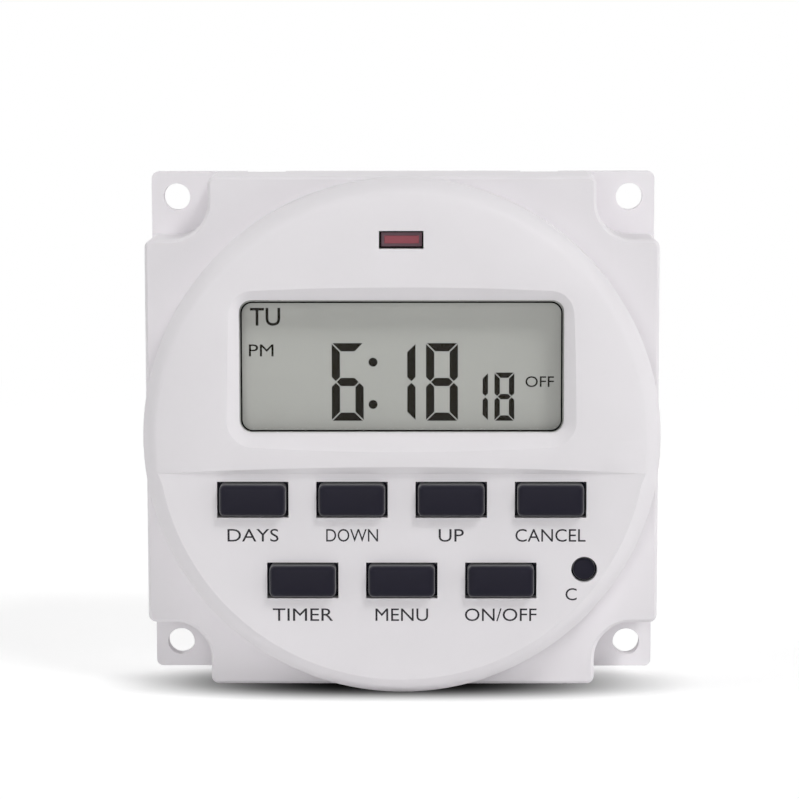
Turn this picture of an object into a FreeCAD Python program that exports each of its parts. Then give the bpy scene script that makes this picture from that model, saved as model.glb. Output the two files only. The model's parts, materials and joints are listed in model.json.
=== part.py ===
import FreeCAD, Part
import math
import os

# Panel-mount digital timer switch, in millimetres.
# X is to the right and Z is up. The front looks along -Y. The origin is the centre of the four
# screw holes, on the face that lies on the panel. A depth named "ahead" is counted from the panel
# towards the front, so a place behind the panel has a negative one.

# Outline of the cover and the mounting flange
SIDE = 60.0
FLANGE_T = 2.0
EAR_CORNER_R = 0.8
HOLE_INSET = 3.0
HOLE_R = 1.6
NOTCH_R = 4.4
BODY_AHEAD = 12.5
BODY_EDGE = 0.35
BODY_CORNER_R = 0.9

# Round front
DISC_INSET = 0.05
FACE_AHEAD = 19.0
SLOPE_RUN = 1.45
SLOPE_RISE = 2.0
DOME_RISE = 0.9
DOME_RING = 0.4
RIDGE_Z = -3.9

# Walls of the cover
WALL = 1.55
FACE_T = 1.8

# Snap hooks of the cover and their slots in the flange
HOOK_X = 16.3
HOOK_SLOT_W = 4.6
HOOK_SIDE_GAP = 0.2
HOOK_RECESS = 0.36
HOOK_T = 1.0
HOOK_BARB = 0.5
HOOK_BARB_LONG = 0.7
HOOK_END_GAP = 0.3
HOOK_GAP = 0.1

# Display opening, its sloped recess and the window
WINDOW_Z = 8.45
WINDOW_MARGIN = 11.3
WINDOW_H = 15.35
WINDOW_CORNER_R = 1.45
RECESS_DROP = 0.6
RECESS_SLOPE_W = 1.5
RECESS_SLOPE_H = 1.1
WINDOW_GAP = 0.08
WINDOW_SUNK = 0.05
WINDOW_FLANGE = 1.3
WINDOW_FLANGE_T = 0.8

# Liquid crystal display
GLASS_MARGIN_W = 1.3
GLASS_MARGIN_H = 2.025
GLASS_LEDGE = 2.5
GLASS_T = 0.7
POLARISER_T = 0.2
POLARISER_INSET = 0.4
GLASS_GAP = 0.1
FRAME_WALL = 1.2
FRAME_ROUND_GAP = 0.55
FRAME_BORDER = 2.0
ZEBRA_SHORT = 1.0
ZEBRA_T = 1.7
ZEBRA_EDGE = 0.2
ZEBRA_GAP = 0.05

# Indicator lamp
LED_Z = 23.1
LED_W = 4.9
LED_H = 1.85
LED_GAP = 0.1
LED_SUNK = 0.1
LEAD_PITCH = 2.54
LEAD_SIDE = 0.5
LEAD_THROUGH = 0.8

# Keys
KEY_PITCH = 11.46
ROW_1_Z = -6.95
ROW_2_Z = -16.4
KEY_W = 7.75
KEY_H = 3.8
KEY_CORNER = 0.35
KEY_EDGE = 0.3
KEY_GAP_X = 0.25
KEY_GAP_Z = 0.2
KEY_PROUD = 1.1
KEY_TRAVEL = 0.85
KEY_SPARE = 0.05
KEY_FLANGE = 0.55
KEY_FLANGE_T = 1.0
KEY_REST_GAP = 0.3
KEY_CONTACT_INSET = 1.2
KEY_CONTACT_T = 0.5
RESET_FROM_RIM = 2.55
RESET_ANGLE = -35.6
RESET_R = 1.3
RESET_GAP = 0.2
RESET_SUNK = 0.3
RESET_FLANGE = 0.35
RESET_EDGE = 0.2
RESET_CONTACT_INSET = 0.4
KEYPAD_T = 1.2
KEYPAD_GAP = 0.25
WEB_REACH = 1.1
RESET_WEB_REACH = 0.6
WEB_T = 0.4
WEB_GAP = 0.04

# Control board behind the display and the keys
BOARD_GAP = 0.45
BOARD_BELOW_FACE = 6.5
BOARD_T = 1.2
SCREW_X = 6.0
BOSS_TO_FRAME = 1.1
BOSS_R = 2.1
PILOT_SPARE = 0.8
SCREW_R = 1.0
SCREW_LONG = 4.6
SCREW_HEAD_R = 1.9
SCREW_HEAD_T = 1.2
SCREW_GAP = 0.06
CATCH_X = 8.0
CATCH_FROM_RIM = 3.1
CATCH_W = 4.0
CATCH_T = 1.2
CATCH_BARB = 0.5
CATCH_GAP = 0.1

# Parts on the control board
CHIP_X = 8.5
CHIP_Z = 7.0
CHIP_R = 4.6
CHIP_T = 1.4
CHIP_TOP_R = 2.8
CRYSTAL_X = 12.0
CRYSTAL_Z = -3.0
CRYSTAL_R = 1.0
CRYSTAL_LONG = 6.0
CRYSTAL_LEAD = 2.0
BATTERY_X = -13.5
BATTERY_Z = 4.0
BATTERY_R = 6.0
BATTERY_T = 2.8
TAB_W = 3.0
TAB_T = 0.25
TAB_REACH = 2.2
SMALL_CHIP_W = 2.0
SMALL_CHIP_H = 1.25
SMALL_CHIP_T = 0.55
SMALL_CHIP_PITCH = 3.2
SMALL_CHIP_X = -4.8
SMALL_CHIP_Z = -4.2
SMALL_CHIP_COUNT = 4
LINK_Z = -10.6
LINK_PITCH = 2.54
LINK_COUNT = 6
LINK_SIDE = 0.64
LINK_BASE = 2.5

# Rear housing behind the panel
EAR_REACH = 5.0
REAR_CORNER_R = 4.0
RELAY_CLEAR = 0.5
REAR_WALL = 1.6
REAR_EDGE = 0.6
RIM_GAP = 0.15
RIM_T = 1.0
RIM_HIGH = 2.5
RIM_LONG = 26.0
PLATE_RECESS = 0.3
PLATE_INSET = 6.0
PLATE_H = 24.0
PLATE_Z = 8.2

# Terminal bay with one cell for each blade
BLADE_COUNT = 4
BAY_INSET = 2.7
BAY_RIB_T = 1.0
BAY_LOW_WALL = 2.0
BAY_TOP_Z = -9.5
BAY_FLOOR_BEHIND = 3.9
BAY_FLOOR_T = 1.5
BAY_WALL = 1.4
BAY_RIB_SUNK = 0.5

# Blade terminals, 6.3 mm wide tabs
BLADE_W = 6.3
BLADE_T = 0.8
BLADE_GAP = 0.1
BLADE_TIP_SUNK = 0.5
BLADE_HOLE_R = 0.85
BLADE_HOLE_FROM_TIP = 3.2
BLADE_CHAMFER = 1.2
BLADE_SHOULDER = 1.0
BLADE_LEG_W = 1.2

# Power board
POWER_GAP = 1.0
POWER_TO_BOARD = 4.3
POWER_T = 1.6
REST_SIDE = 4.2
REST_INSET = 2.4

# Relay, standing on the back of the power board
RELAY_FROM_EDGE = 1.4
RELAY_Z = 5.0
RELAY_W = 19.2
RELAY_H = 15.5
RELAY_HEADROOM = 1.6
RELAY_WALL = 0.8
RELAY_GAP = 0.1
RELAY_BASE_T = 2.2
RELAY_FLANGE_T = 0.8
YOKE_T = 1.2
YOKE_GAP = 0.9
YOKE_W = 8.0
BOBBIN_SIDE = 10.2
BOBBIN_TALL = 7.0
BOBBIN_FLANGE_T = 0.7
BOBBIN_BARREL = 5.0
WINDING_SIDE = 8.8
CORE_SIDE = 3.6
CORE_GAP = 0.05
POLE_SIDE = 6.0
POLE_T = 0.6
ARMATURE_T = 1.0
ARMATURE_W = 9.0
POLE_GAP = 0.6
HINGE_GAP = 0.3
SPRING_T = 0.2
SPRING_W = 5.0
CONTACT_R = 1.2
CONTACT_T = 0.5
CONTACT_GAP = 0.9
FIXED_T = 0.6
FIXED_GAP = 0.8
PIN_SIDE = 0.8
PIN_GAP = 0.1
PIN_THROUGH = 0.8

# Other parts on the power board
FILM_X = 11.5
FILM_TO_FUSE = 2.4
FILM_W = 13.0
FILM_H = 6.0
FILM_TALL = 11.0
FILM_PITCH = 10.0
FILTER_TO_RELAY = 3.3
FILTER_Z = 2.0
FILTER_R = 4.0
FILTER_TALL = 11.5
FILTER_PITCH = 3.5
FILTER_VENT = 0.3
DIODE_X = 8.0
DIODE_Z = -6.0
DIODE_PITCH = 3.1
DIODE_COUNT = 3
DIODE_R = 1.2
DIODE_LONG = 4.4
DIODE_REACH = 1.2
TRANSISTOR_X = -14.0
TRANSISTOR_TO_RELAY = 1.05
TRANSISTOR_R = 2.2
TRANSISTOR_TALL = 4.6
TRANSISTOR_PITCH = 1.27
VARISTOR_X = -7.0
VARISTOR_TO_RELAY = 4.15
VARISTOR_R = 3.6
VARISTOR_T = 3.2
VARISTOR_PITCH = 5.0
FUSE_X = 8.5
FUSE_FROM_EDGE = 2.9
FUSE_R = 1.6
FUSE_LONG = 8.0
FUSE_REACH = 1.6
LEAD_STAND = 1.0
LEAD_GAP = 0.1

# How far a cut runs on past the face that it opens, and how near counts as the same place
PAST = 1.0
SAME = 1e-4

FORWARD = FreeCAD.Vector(0, -1, 0)
RIGHT = FreeCAD.Vector(1, 0, 0)
UP = FreeCAD.Vector(0, 0, 1)

HOLE_AT = SIDE / 2 - HOLE_INSET
DISC_R = SIDE / 2 - DISC_INSET
DISC_AHEAD = FACE_AHEAD - SLOPE_RISE
FACE_R = DISC_R - SLOPE_RUN
CAVITY_R = SIDE / 2 - WALL
RECESS_AHEAD = FACE_AHEAD - RECESS_DROP
COVER_INNER = FACE_AHEAD - FACE_T
BODY_INNER = BODY_AHEAD - WALL
LED_AHEAD = FACE_AHEAD - LED_SUNK
KEY_AHEAD = FACE_AHEAD + KEY_PROUD
RESET_AHEAD = FACE_AHEAD - RESET_SUNK
RESET_X = (FACE_R - RESET_FROM_RIM) * math.cos(math.radians(RESET_ANGLE))
RESET_Z = (FACE_R - RESET_FROM_RIM) * math.sin(math.radians(RESET_ANGLE))

BOARD_R = CAVITY_R - BOARD_GAP
BOARD_AHEAD = FACE_AHEAD - BOARD_BELOW_FACE
BOARD_BACK = BOARD_AHEAD - BOARD_T
CATCH_Z = CATCH_FROM_RIM - BOARD_R
POWER_AHEAD = BOARD_BACK - POWER_TO_BOARD
POWER_BACK = POWER_AHEAD - POWER_T
REAR_SIDE = SIDE - 2 * EAR_REACH
REAR_CLEAR = REAR_SIDE - 2 * REAR_WALL
RELAY_TALL = (
    RELAY_BASE_T + YOKE_T + BOBBIN_TALL + POLE_T + POLE_GAP + ARMATURE_T + SPRING_T
    + RELAY_HEADROOM + RELAY_WALL
)
REAR_INNER = POWER_BACK - RELAY_TALL - RELAY_CLEAR
REAR_DEEP = REAR_WALL - REAR_INNER
PLATE_W = REAR_SIDE - 2 * PLATE_INSET
BAY_LOW_Z = BAY_LOW_WALL - REAR_SIDE / 2
BAY_FLOOR = -BAY_FLOOR_BEHIND
BAY_FLOOR_INNER = BAY_FLOOR + BAY_FLOOR_T
BLADE_PITCH = (REAR_CLEAR - 2 * BAY_INSET + BAY_RIB_T) / BLADE_COUNT

WINDOW_W = SIDE - 2 * WINDOW_MARGIN
WINDOW_BACK = COVER_INNER - WINDOW_FLANGE_T
GLASS_W = WINDOW_W + 2 * GLASS_MARGIN_W
FRONT_GLASS_H = WINDOW_H + 2 * GLASS_MARGIN_H
REAR_GLASS_H = FRONT_GLASS_H - 2 * GLASS_LEDGE
DISPLAY_FRONT = WINDOW_BACK - GLASS_GAP
FRONT_GLASS_AHEAD = DISPLAY_FRONT - POLARISER_T
REAR_GLASS_AHEAD = FRONT_GLASS_AHEAD - GLASS_T
REAR_GLASS_BACK = REAR_GLASS_AHEAD - GLASS_T
DISPLAY_BACK = REAR_GLASS_BACK - POLARISER_T
FRAME_W = GLASS_W + 2 * (GLASS_GAP + FRAME_WALL)
FRAME_H = FRONT_GLASS_H + 2 * (GLASS_GAP + FRAME_WALL)
ZEBRA_W = GLASS_W - 2 * ZEBRA_SHORT
ZEBRA_OFFSET = FRONT_GLASS_H / 2 - ZEBRA_EDGE - ZEBRA_T / 2
SCREW_Z = WINDOW_Z + FRAME_H / 2 + BOSS_TO_FRAME + BOSS_R

FLANGE_FRONT = COVER_INNER - KEY_REST_GAP
FLANGE_BACK = FLANGE_FRONT - KEY_FLANGE_T
CONTACT_BACK = BOARD_AHEAD + KEY_TRAVEL + KEY_SPARE
KEY_BACK = CONTACT_BACK + KEY_CONTACT_T
KEYPAD_AHEAD = BOARD_AHEAD + KEYPAD_T
KEYPAD_TOP_Z = WINDOW_Z - FRAME_H / 2 - KEYPAD_GAP
WEB_HIGH = FLANGE_BACK - KEY_TRAVEL - KEY_SPARE

POWER_SIDE = REAR_CLEAR - 2 * POWER_GAP
REST_AT = POWER_SIDE / 2 - REST_INSET
RELAY_X = RELAY_FROM_EDGE + RELAY_W / 2 - POWER_SIDE / 2
FILTER_X = RELAY_X + RELAY_W / 2 + FILTER_TO_RELAY + FILTER_R
FUSE_Z = POWER_SIDE / 2 - FUSE_FROM_EDGE
FILM_Z = FUSE_Z - FUSE_R - FILM_TO_FUSE - FILM_H / 2
TRANSISTOR_Z = RELAY_Z - RELAY_H / 2 - TRANSISTOR_TO_RELAY - TRANSISTOR_R
VARISTOR_Z = RELAY_Z + RELAY_H / 2 + VARISTOR_TO_RELAY + VARISTOR_T / 2

BOARD_SCREWS = [(-SCREW_X, SCREW_Z), (SCREW_X, SCREW_Z)]
BLADE_X = [(i - (BLADE_COUNT - 1) / 2) * BLADE_PITCH for i in range(BLADE_COUNT)]
BLADE_Z = (BAY_LOW_Z + BAY_TOP_Z) / 2
LINK_X = [(i - (LINK_COUNT - 1) / 2) * LINK_PITCH for i in range(LINK_COUNT)]

# Each key: name, X, Z, and whether it is the small round one
KEYS = [
    (name, (i - 1.5) * KEY_PITCH, ROW_1_Z, False)
    for i, name in enumerate(("day", "hour", "minute", "back"))
]
KEYS += [
    (name, (i - 1) * KEY_PITCH, ROW_2_Z, False)
    for i, name in enumerate(("time", "set", "mode"))
]
KEYS += [("reset", RESET_X, RESET_Z, True)]


def point(x, z, ahead=0.0):
    return FreeCAD.Vector(x, -ahead, z)


def rectangle(width, height, corner=0.0, x=0.0, z=0.0):
    """Outline of a rectangle with round corners, in the plane of the panel."""
    w = width / 2
    h = height / 2
    if corner <= 0:
        corners = [point(x - w, z - h), point(x + w, z - h), point(x + w, z + h), point(x - w, z + h)]
        return Part.makePolygon(corners + corners[:1])
    edges = []
    cut = corner * (1 - math.sqrt(0.5))
    for sx, sz in ((1, 1), (-1, 1), (-1, -1), (1, -1)):
        start = point(x + sx * w, z + sz * (h - corner))
        middle = point(x + sx * (w - cut), z + sz * (h - cut))
        end = point(x + sx * (w - corner), z + sz * h)
        if sx * sz < 0:
            start, end = end, start
        edges.append(Part.Arc(start, middle, end).toShape())
    joined = []
    for i, arc in enumerate(edges):
        following = edges[(i + 1) % 4]
        joined.append(arc)
        joined.append(Part.makeLine(arc.lastVertex().Point, following.firstVertex().Point))
    return Part.Wire(joined)


def circle(radius, x=0.0, z=0.0):
    return Part.Wire([Part.makeCircle(radius, point(x, z), FORWARD)])


def slab(outline, back, front):
    """Solid of an outline between two depths."""
    solid = Part.Face(outline).extrude(FORWARD * (front - back))
    solid.translate(FORWARD * back)
    return solid


def block(width, height, back, front, x=0.0, z=0.0, corner=0.0):
    return slab(rectangle(width, height, corner, x, z), back, front)


def rod(radius, back, front, x=0.0, z=0.0):
    return Part.makeCylinder(radius, front - back, point(x, z, back), FORWARD)


def turned(profile):
    """Solid turned about the centre line from (radius, ahead) points and arcs."""
    face = Part.Face(Part.Wire(profile))
    return face.revolve(FreeCAD.Vector(0, 0, 0), FORWARD, 360)


def edge(a, b):
    return Part.makeLine(point(a[0], 0, a[1]), point(b[0], 0, b[1]))


def bend(a, middle, b):
    return Part.Arc(point(a[0], 0, a[1]), point(middle[0], 0, middle[1]), point(b[0], 0, b[1])).toShape()


def tapered(back_outline, back, front_outline, front):
    """Solid with straight sides between two outlines."""
    low = back_outline.copy()
    low.translate(FORWARD * back)
    high = front_outline.copy()
    high.translate(FORWARD * front)
    return Part.makeLoft([low, high], True, True)


def frustum(back_size, back, front_size, front, x, z):
    """Block whose width and height change evenly from one depth to another."""
    w, h = (size / 2 for size in front_size)
    wide, high = (size / 2 for size in back_size)
    return Part.makeWedge(
        x - w, -front, z - h, z - high, x - wide,
        x + w, -back, z + h, z + high, x + wide,
    )


def fused(shapes):
    return shapes[0].multiFuse(shapes[1:]).removeSplitter()


def rim_edges(solid, ahead):
    """Edges that lie at one depth."""
    found = []
    for item in solid.Edges:
        box = item.BoundBox
        if abs(box.YMin + ahead) < SAME and abs(box.YMax + ahead) < SAME:
            found.append(item)
    return found


def depth_edges(solid, size):
    """Straight edges that run from front to back over at least the given length."""
    found = []
    for item in solid.Edges:
        box = item.BoundBox
        straight = box.XLength < SAME and box.ZLength < SAME
        if straight and box.YLength > size - SAME:
            found.append(item)
    return found


def notched_outline(inset):
    """Square outline with a round-bottomed notch about each screw hole, moved in by a wall."""
    half = SIDE / 2 - inset
    radius = NOTCH_R + inset
    notch = HOLE_AT - radius
    deep = HOLE_AT - radius * math.sqrt(0.5)
    edges = []
    for sx, sz in ((1, 1), (-1, 1), (-1, -1), (1, -1)):
        side = [
            Part.makeLine(point(sx * half, sz * notch), point(sx * HOLE_AT, sz * notch)),
            Part.Arc(
                point(sx * HOLE_AT, sz * notch),
                point(sx * deep, sz * deep),
                point(sx * notch, sz * HOLE_AT),
            ).toShape(),
            Part.makeLine(point(sx * notch, sz * HOLE_AT), point(sx * notch, sz * half)),
        ]
        edges += side
    for s in (1, -1):
        edges.append(Part.makeLine(point(notch, s * half), point(-notch, s * half)))
        edges.append(Part.makeLine(point(s * half, notch), point(s * half, -notch)))
    return Part.Wire(Part.__sortEdges__(edges))


def key_outline(x, z, is_round, grow):
    if is_round:
        return circle(RESET_R + grow, x, z)
    return rectangle(KEY_W + 2 * grow, KEY_H + 2 * grow, 0, x, z)


def disc_body():
    """Round front: wall, slope, eased rim and shallow dome."""
    root = BODY_AHEAD - WALL / 2
    dome_r = FACE_R - DOME_RING
    steep = math.atan2(SLOPE_RISE, SLOPE_RUN)
    rim = (FACE_R + DOME_RING * math.cos(steep), FACE_AHEAD - DOME_RING * math.sin(steep))
    top = FACE_AHEAD + DOME_RISE
    sphere = (dome_r ** 2 + DOME_RISE ** 2) / (2 * DOME_RISE)
    half_r = dome_r / 2
    half = (half_r, top - sphere + math.sqrt(sphere ** 2 - half_r ** 2))
    return turned([
        edge((0, root), (DISC_R, root)),
        edge((DISC_R, root), (DISC_R, DISC_AHEAD)),
        edge((DISC_R, DISC_AHEAD), rim),
        edge(rim, (dome_r, FACE_AHEAD)),
        bend((dome_r, FACE_AHEAD), half, (0, top)),
        edge((0, top), (0, root)),
    ])


def square_body():
    body = slab(notched_outline(0), FLANGE_T, BODY_AHEAD)
    corners = [
        item for item in depth_edges(body, BODY_AHEAD - FLANGE_T)
        if max(abs(item.BoundBox.XMax), abs(item.BoundBox.XMin)) > SIDE / 2 - SAME
        or max(abs(item.BoundBox.ZMax), abs(item.BoundBox.ZMin)) > SIDE / 2 - SAME
    ]
    body = body.makeFillet(BODY_CORNER_R, corners)
    return body.makeChamfer(BODY_EDGE, rim_edges(body, BODY_AHEAD))


def key_field():
    """What is cut from the dome: everything in front of the key field, below the ridge."""
    reach = 2 * DOME_RISE
    profile = Part.makePolygon([
        FreeCAD.Vector(-SIDE, -FACE_AHEAD, RIDGE_Z),
        FreeCAD.Vector(-SIDE, -FACE_AHEAD - reach, RIDGE_Z + reach),
        FreeCAD.Vector(-SIDE, -FACE_AHEAD - reach, -SIDE),
        FreeCAD.Vector(-SIDE, -FACE_AHEAD, -SIDE),
        FreeCAD.Vector(-SIDE, -FACE_AHEAD, RIDGE_Z),
    ])
    return Part.Face(profile).extrude(RIGHT * 2 * SIDE)


def display_recess():
    """Sloped recess about the window, carried on past the dome's top, and the opening behind it."""
    rise = FACE_AHEAD + 2 * DOME_RISE - RECESS_AHEAD
    grow = RECESS_SLOPE_W * rise / RECESS_SLOPE_H
    low = rectangle(WINDOW_W, WINDOW_H, WINDOW_CORNER_R, 0, WINDOW_Z)
    high = rectangle(
        WINDOW_W + 2 * grow,
        WINDOW_H + 2 * grow,
        WINDOW_CORNER_R + grow,
        0,
        WINDOW_Z,
    )
    opening = slab(low, COVER_INNER - PAST, RECESS_AHEAD)
    return [tapered(low, RECESS_AHEAD, high, RECESS_AHEAD + rise), opening]


def cover_cavity():
    hollow = rod(CAVITY_R, BODY_INNER - PAST, COVER_INNER)
    return [slab(notched_outline(WALL), FLANGE_T - PAST, BODY_INNER), hollow]


def snap_hooks():
    """Four hooks that reach back from the top and bottom walls, with barbs pointing inwards."""
    width = HOOK_SLOT_W - 2 * HOOK_SIDE_GAP
    outer = SIDE / 2 - HOOK_RECESS
    tip = HOOK_END_GAP
    root = FLANGE_T + WALL
    inner = outer - HOOK_T
    hooks = []
    for sx in (-1, 1):
        for sz in (-1, 1):
            outline = [
                (outer, root),
                (outer, tip),
                (inner, tip),
                (inner - HOOK_BARB, tip + HOOK_BARB),
                (inner - HOOK_BARB, tip + HOOK_BARB_LONG),
                (inner, tip + HOOK_BARB_LONG),
                (inner, root),
            ]
            left = sx * HOOK_X - width / 2
            corners = [FreeCAD.Vector(left, -ahead, sz * z) for z, ahead in outline]
            face = Part.Face(Part.makePolygon(corners + corners[:1]))
            hooks.append(face.extrude(RIGHT * width))
    return hooks


def catch_notches(back, front):
    """Notches for the two catches at the lower edge of the board and the keypad sheet."""
    width = CATCH_W + 2 * CATCH_GAP
    top = CATCH_Z + CATCH_GAP
    return [
        block(width, SIDE / 2 + top, back, front, side * CATCH_X, (top - SIDE / 2) / 2)
        for side in (-1, 1)
    ]


def board_catches():
    """Two catches under the front that hook behind the lower edge of the control board."""
    seat = BOARD_BACK - CATCH_GAP
    outline = [
        (CATCH_Z, COVER_INNER + FACE_T / 2),
        (CATCH_Z, seat),
        (CATCH_Z + CATCH_BARB, seat),
        (CATCH_Z, seat - 2 * CATCH_BARB),
        (CATCH_Z - CATCH_T, seat - 2 * CATCH_BARB),
        (CATCH_Z - CATCH_T, COVER_INNER + FACE_T / 2),
    ]
    catches = []
    for side in (-1, 1):
        left = side * CATCH_X - CATCH_W / 2
        corners = [FreeCAD.Vector(left, -ahead, z) for z, ahead in outline]
        face = Part.Face(Part.makePolygon(corners + corners[:1]))
        catches.append(face.extrude(RIGHT * CATCH_W))
    return catches


def front_cover():
    solid = fused([square_body(), disc_body()])
    cuts = [key_field()] + display_recess() + cover_cavity()
    top = FACE_AHEAD + DOME_RISE + PAST
    for name, x, z, is_round in KEYS:
        if is_round:
            cuts.append(rod(RESET_R + RESET_GAP, COVER_INNER - PAST, top, x, z))
        else:
            width = KEY_W + 2 * KEY_GAP_X
            height = KEY_H + 2 * KEY_GAP_Z
            cuts.append(block(width, height, COVER_INNER - PAST, top, x, z))
    cuts.append(block(LED_W + 2 * LED_GAP, LED_H + 2 * LED_GAP, COVER_INNER - PAST, top, 0, LED_Z))
    solid = solid.cut(cuts)
    bosses = [rod(BOSS_R, BOARD_AHEAD, COVER_INNER + FACE_T / 2, x, z) for x, z in BOARD_SCREWS]
    solid = fused([solid] + bosses + snap_hooks() + board_catches())
    pilot_end = BOARD_BACK + SCREW_LONG + PILOT_SPARE
    pilots = [rod(SCREW_R + SCREW_GAP, BOARD_AHEAD, pilot_end, x, z) for x, z in BOARD_SCREWS]
    return solid.cut(pilots)


def display_window():
    raised = block(
        WINDOW_W - 2 * WINDOW_GAP,
        WINDOW_H - 2 * WINDOW_GAP,
        COVER_INNER,
        RECESS_AHEAD - WINDOW_SUNK,
        0,
        WINDOW_Z,
        WINDOW_CORNER_R - WINDOW_GAP,
    )
    flange = block(
        WINDOW_W + 2 * WINDOW_FLANGE,
        WINDOW_H + 2 * WINDOW_FLANGE,
        WINDOW_BACK,
        COVER_INNER,
        0,
        WINDOW_Z,
        WINDOW_CORNER_R,
    )
    return fused([raised, flange])


def display_sheet(height, back, front, inset):
    return block(GLASS_W - 2 * inset, height - 2 * inset, back, front, 0, WINDOW_Z)


def display_frame():
    """Open frame that seats both glasses and holds the contact strips upright."""
    solid = block(FRAME_W, FRAME_H, BOARD_AHEAD, COVER_INNER, 0, WINDOW_Z)
    solid = solid.common(rod(CAVITY_R - FRAME_ROUND_GAP, BOARD_AHEAD, COVER_INNER))
    pocket_w = GLASS_W + 2 * GLASS_GAP
    cuts = [
        block(pocket_w, FRONT_GLASS_H + 2 * GLASS_GAP, REAR_GLASS_AHEAD, COVER_INNER, 0, WINDOW_Z),
        block(pocket_w, REAR_GLASS_H + 2 * GLASS_GAP, DISPLAY_BACK, COVER_INNER, 0, WINDOW_Z),
        block(
            GLASS_W - 2 * FRAME_BORDER,
            REAR_GLASS_H - 2 * FRAME_BORDER,
            BOARD_AHEAD - PAST,
            COVER_INNER,
            0,
            WINDOW_Z,
        ),
    ]
    for side in (-1, 1):
        cuts.append(block(
            ZEBRA_W + 2 * ZEBRA_GAP,
            ZEBRA_T + 2 * ZEBRA_GAP,
            BOARD_AHEAD - PAST,
            COVER_INNER,
            0,
            WINDOW_Z + side * ZEBRA_OFFSET,
        ))
    return solid.cut(cuts)


def zebra_strips():
    strips = [
        block(ZEBRA_W, ZEBRA_T, BOARD_AHEAD, REAR_GLASS_AHEAD, 0, WINDOW_Z + side * ZEBRA_OFFSET)
        for side in (-1, 1)
    ]
    return Part.makeCompound(strips)


def indicator_led():
    lamp = block(LED_W, LED_H, BOARD_AHEAD, LED_AHEAD, 0, LED_Z)
    sockets = [
        block(LEAD_SIDE, LEAD_SIDE, BOARD_AHEAD, BOARD_AHEAD + LEAD_PITCH, side * LEAD_PITCH / 2, LED_Z)
        for side in (-1, 1)
    ]
    return lamp.cut(sockets)


def indicator_led_leads():
    leads = [
        block(
            LEAD_SIDE,
            LEAD_SIDE,
            BOARD_BACK - LEAD_THROUGH,
            BOARD_AHEAD + LEAD_PITCH,
            side * LEAD_PITCH / 2,
            LED_Z,
        )
        for side in (-1, 1)
    ]
    return Part.makeCompound(leads)


def key(x, z, is_round):
    """Rubber key: cap through the cover, retaining flange under it, and the foot inside its web."""
    front = RESET_AHEAD if is_round else KEY_AHEAD
    grow = RESET_FLANGE if is_round else KEY_FLANGE
    bevel = RESET_EDGE if is_round else KEY_EDGE
    cap = slab(key_outline(x, z, is_round, 0), KEY_BACK, front)
    if not is_round:
        cap = cap.makeChamfer(KEY_CORNER, depth_edges(cap, front - KEY_BACK))
    cap = cap.makeChamfer(bevel, rim_edges(cap, front))
    flange = slab(key_outline(x, z, is_round, grow), FLANGE_BACK, FLANGE_FRONT)
    return fused([cap, flange])


def key_contact(x, z, is_round):
    inset = RESET_CONTACT_INSET if is_round else KEY_CONTACT_INSET
    return slab(key_outline(x, z, is_round, -inset), CONTACT_BACK, KEY_BACK)


def key_web(x, z, is_round):
    """Thin skirt between a key's foot and the keypad sheet, sloped except about the round key."""
    low = KEYPAD_AHEAD - WEB_T
    if is_round:
        outer = rod(RESET_R + RESET_WEB_REACH - WEB_GAP, low, KEYPAD_AHEAD, x, z)
        return outer.cut(rod(RESET_R + WEB_GAP, low, KEYPAD_AHEAD, x, z))
    inner = (KEY_W + 2 * WEB_GAP, KEY_H + 2 * WEB_GAP)
    reach = WEB_REACH - WEB_GAP
    outer = (KEY_W + 2 * reach, KEY_H + 2 * reach)
    skirt = fused([
        frustum(outer, KEYPAD_AHEAD, inner, WEB_HIGH, x, z),
        block(outer[0], outer[1], low, KEYPAD_AHEAD, x, z),
    ])
    under = frustum(outer, low, inner, WEB_HIGH - WEB_T, x, z)
    return skirt.cut([under, block(inner[0], inner[1], low, WEB_HIGH, x, z)])


def key_webs():
    return Part.makeCompound([key_web(x, z, is_round) for name, x, z, is_round in KEYS])


def keypad_sheet():
    sheet = rod(BOARD_R, BOARD_AHEAD, KEYPAD_AHEAD)
    cuts = [block(2 * SIDE, SIDE, BOARD_AHEAD, KEYPAD_AHEAD, 0, KEYPAD_TOP_Z + SIDE / 2)]
    for name, x, z, is_round in KEYS:
        reach = RESET_WEB_REACH if is_round else WEB_REACH
        cuts.append(slab(key_outline(x, z, is_round, reach), BOARD_AHEAD, KEYPAD_AHEAD))
    return sheet.cut(cuts + catch_notches(BOARD_AHEAD, KEYPAD_AHEAD))


def control_board():
    board = rod(BOARD_R, BOARD_BACK, BOARD_AHEAD)
    holes = [
        rod(SCREW_R + 2 * SCREW_GAP, BOARD_BACK, BOARD_AHEAD, x, z)
        for x, z in BOARD_SCREWS
    ]
    side = LEAD_SIDE + 2 * LEAD_GAP
    for sx in (-1, 1):
        holes.append(block(side, side, BOARD_BACK, BOARD_AHEAD, sx * LEAD_PITCH / 2, LED_Z))
    return board.cut(holes + catch_notches(BOARD_BACK, BOARD_AHEAD))


def control_board_screws():
    screws = []
    for x, z in BOARD_SCREWS:
        shank = rod(SCREW_R, BOARD_BACK, BOARD_BACK + SCREW_LONG, x, z)
        head = rod(SCREW_HEAD_R, BOARD_BACK - SCREW_HEAD_T, BOARD_BACK, x, z)
        screws.append(fused([shank, head]))
    return Part.makeCompound(screws)


def controller_chip():
    """Low round cap of resin over the bare chip."""
    return Part.makeCone(CHIP_R, CHIP_TOP_R, CHIP_T, point(CHIP_X, CHIP_Z, BOARD_BACK), -FORWARD)


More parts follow.
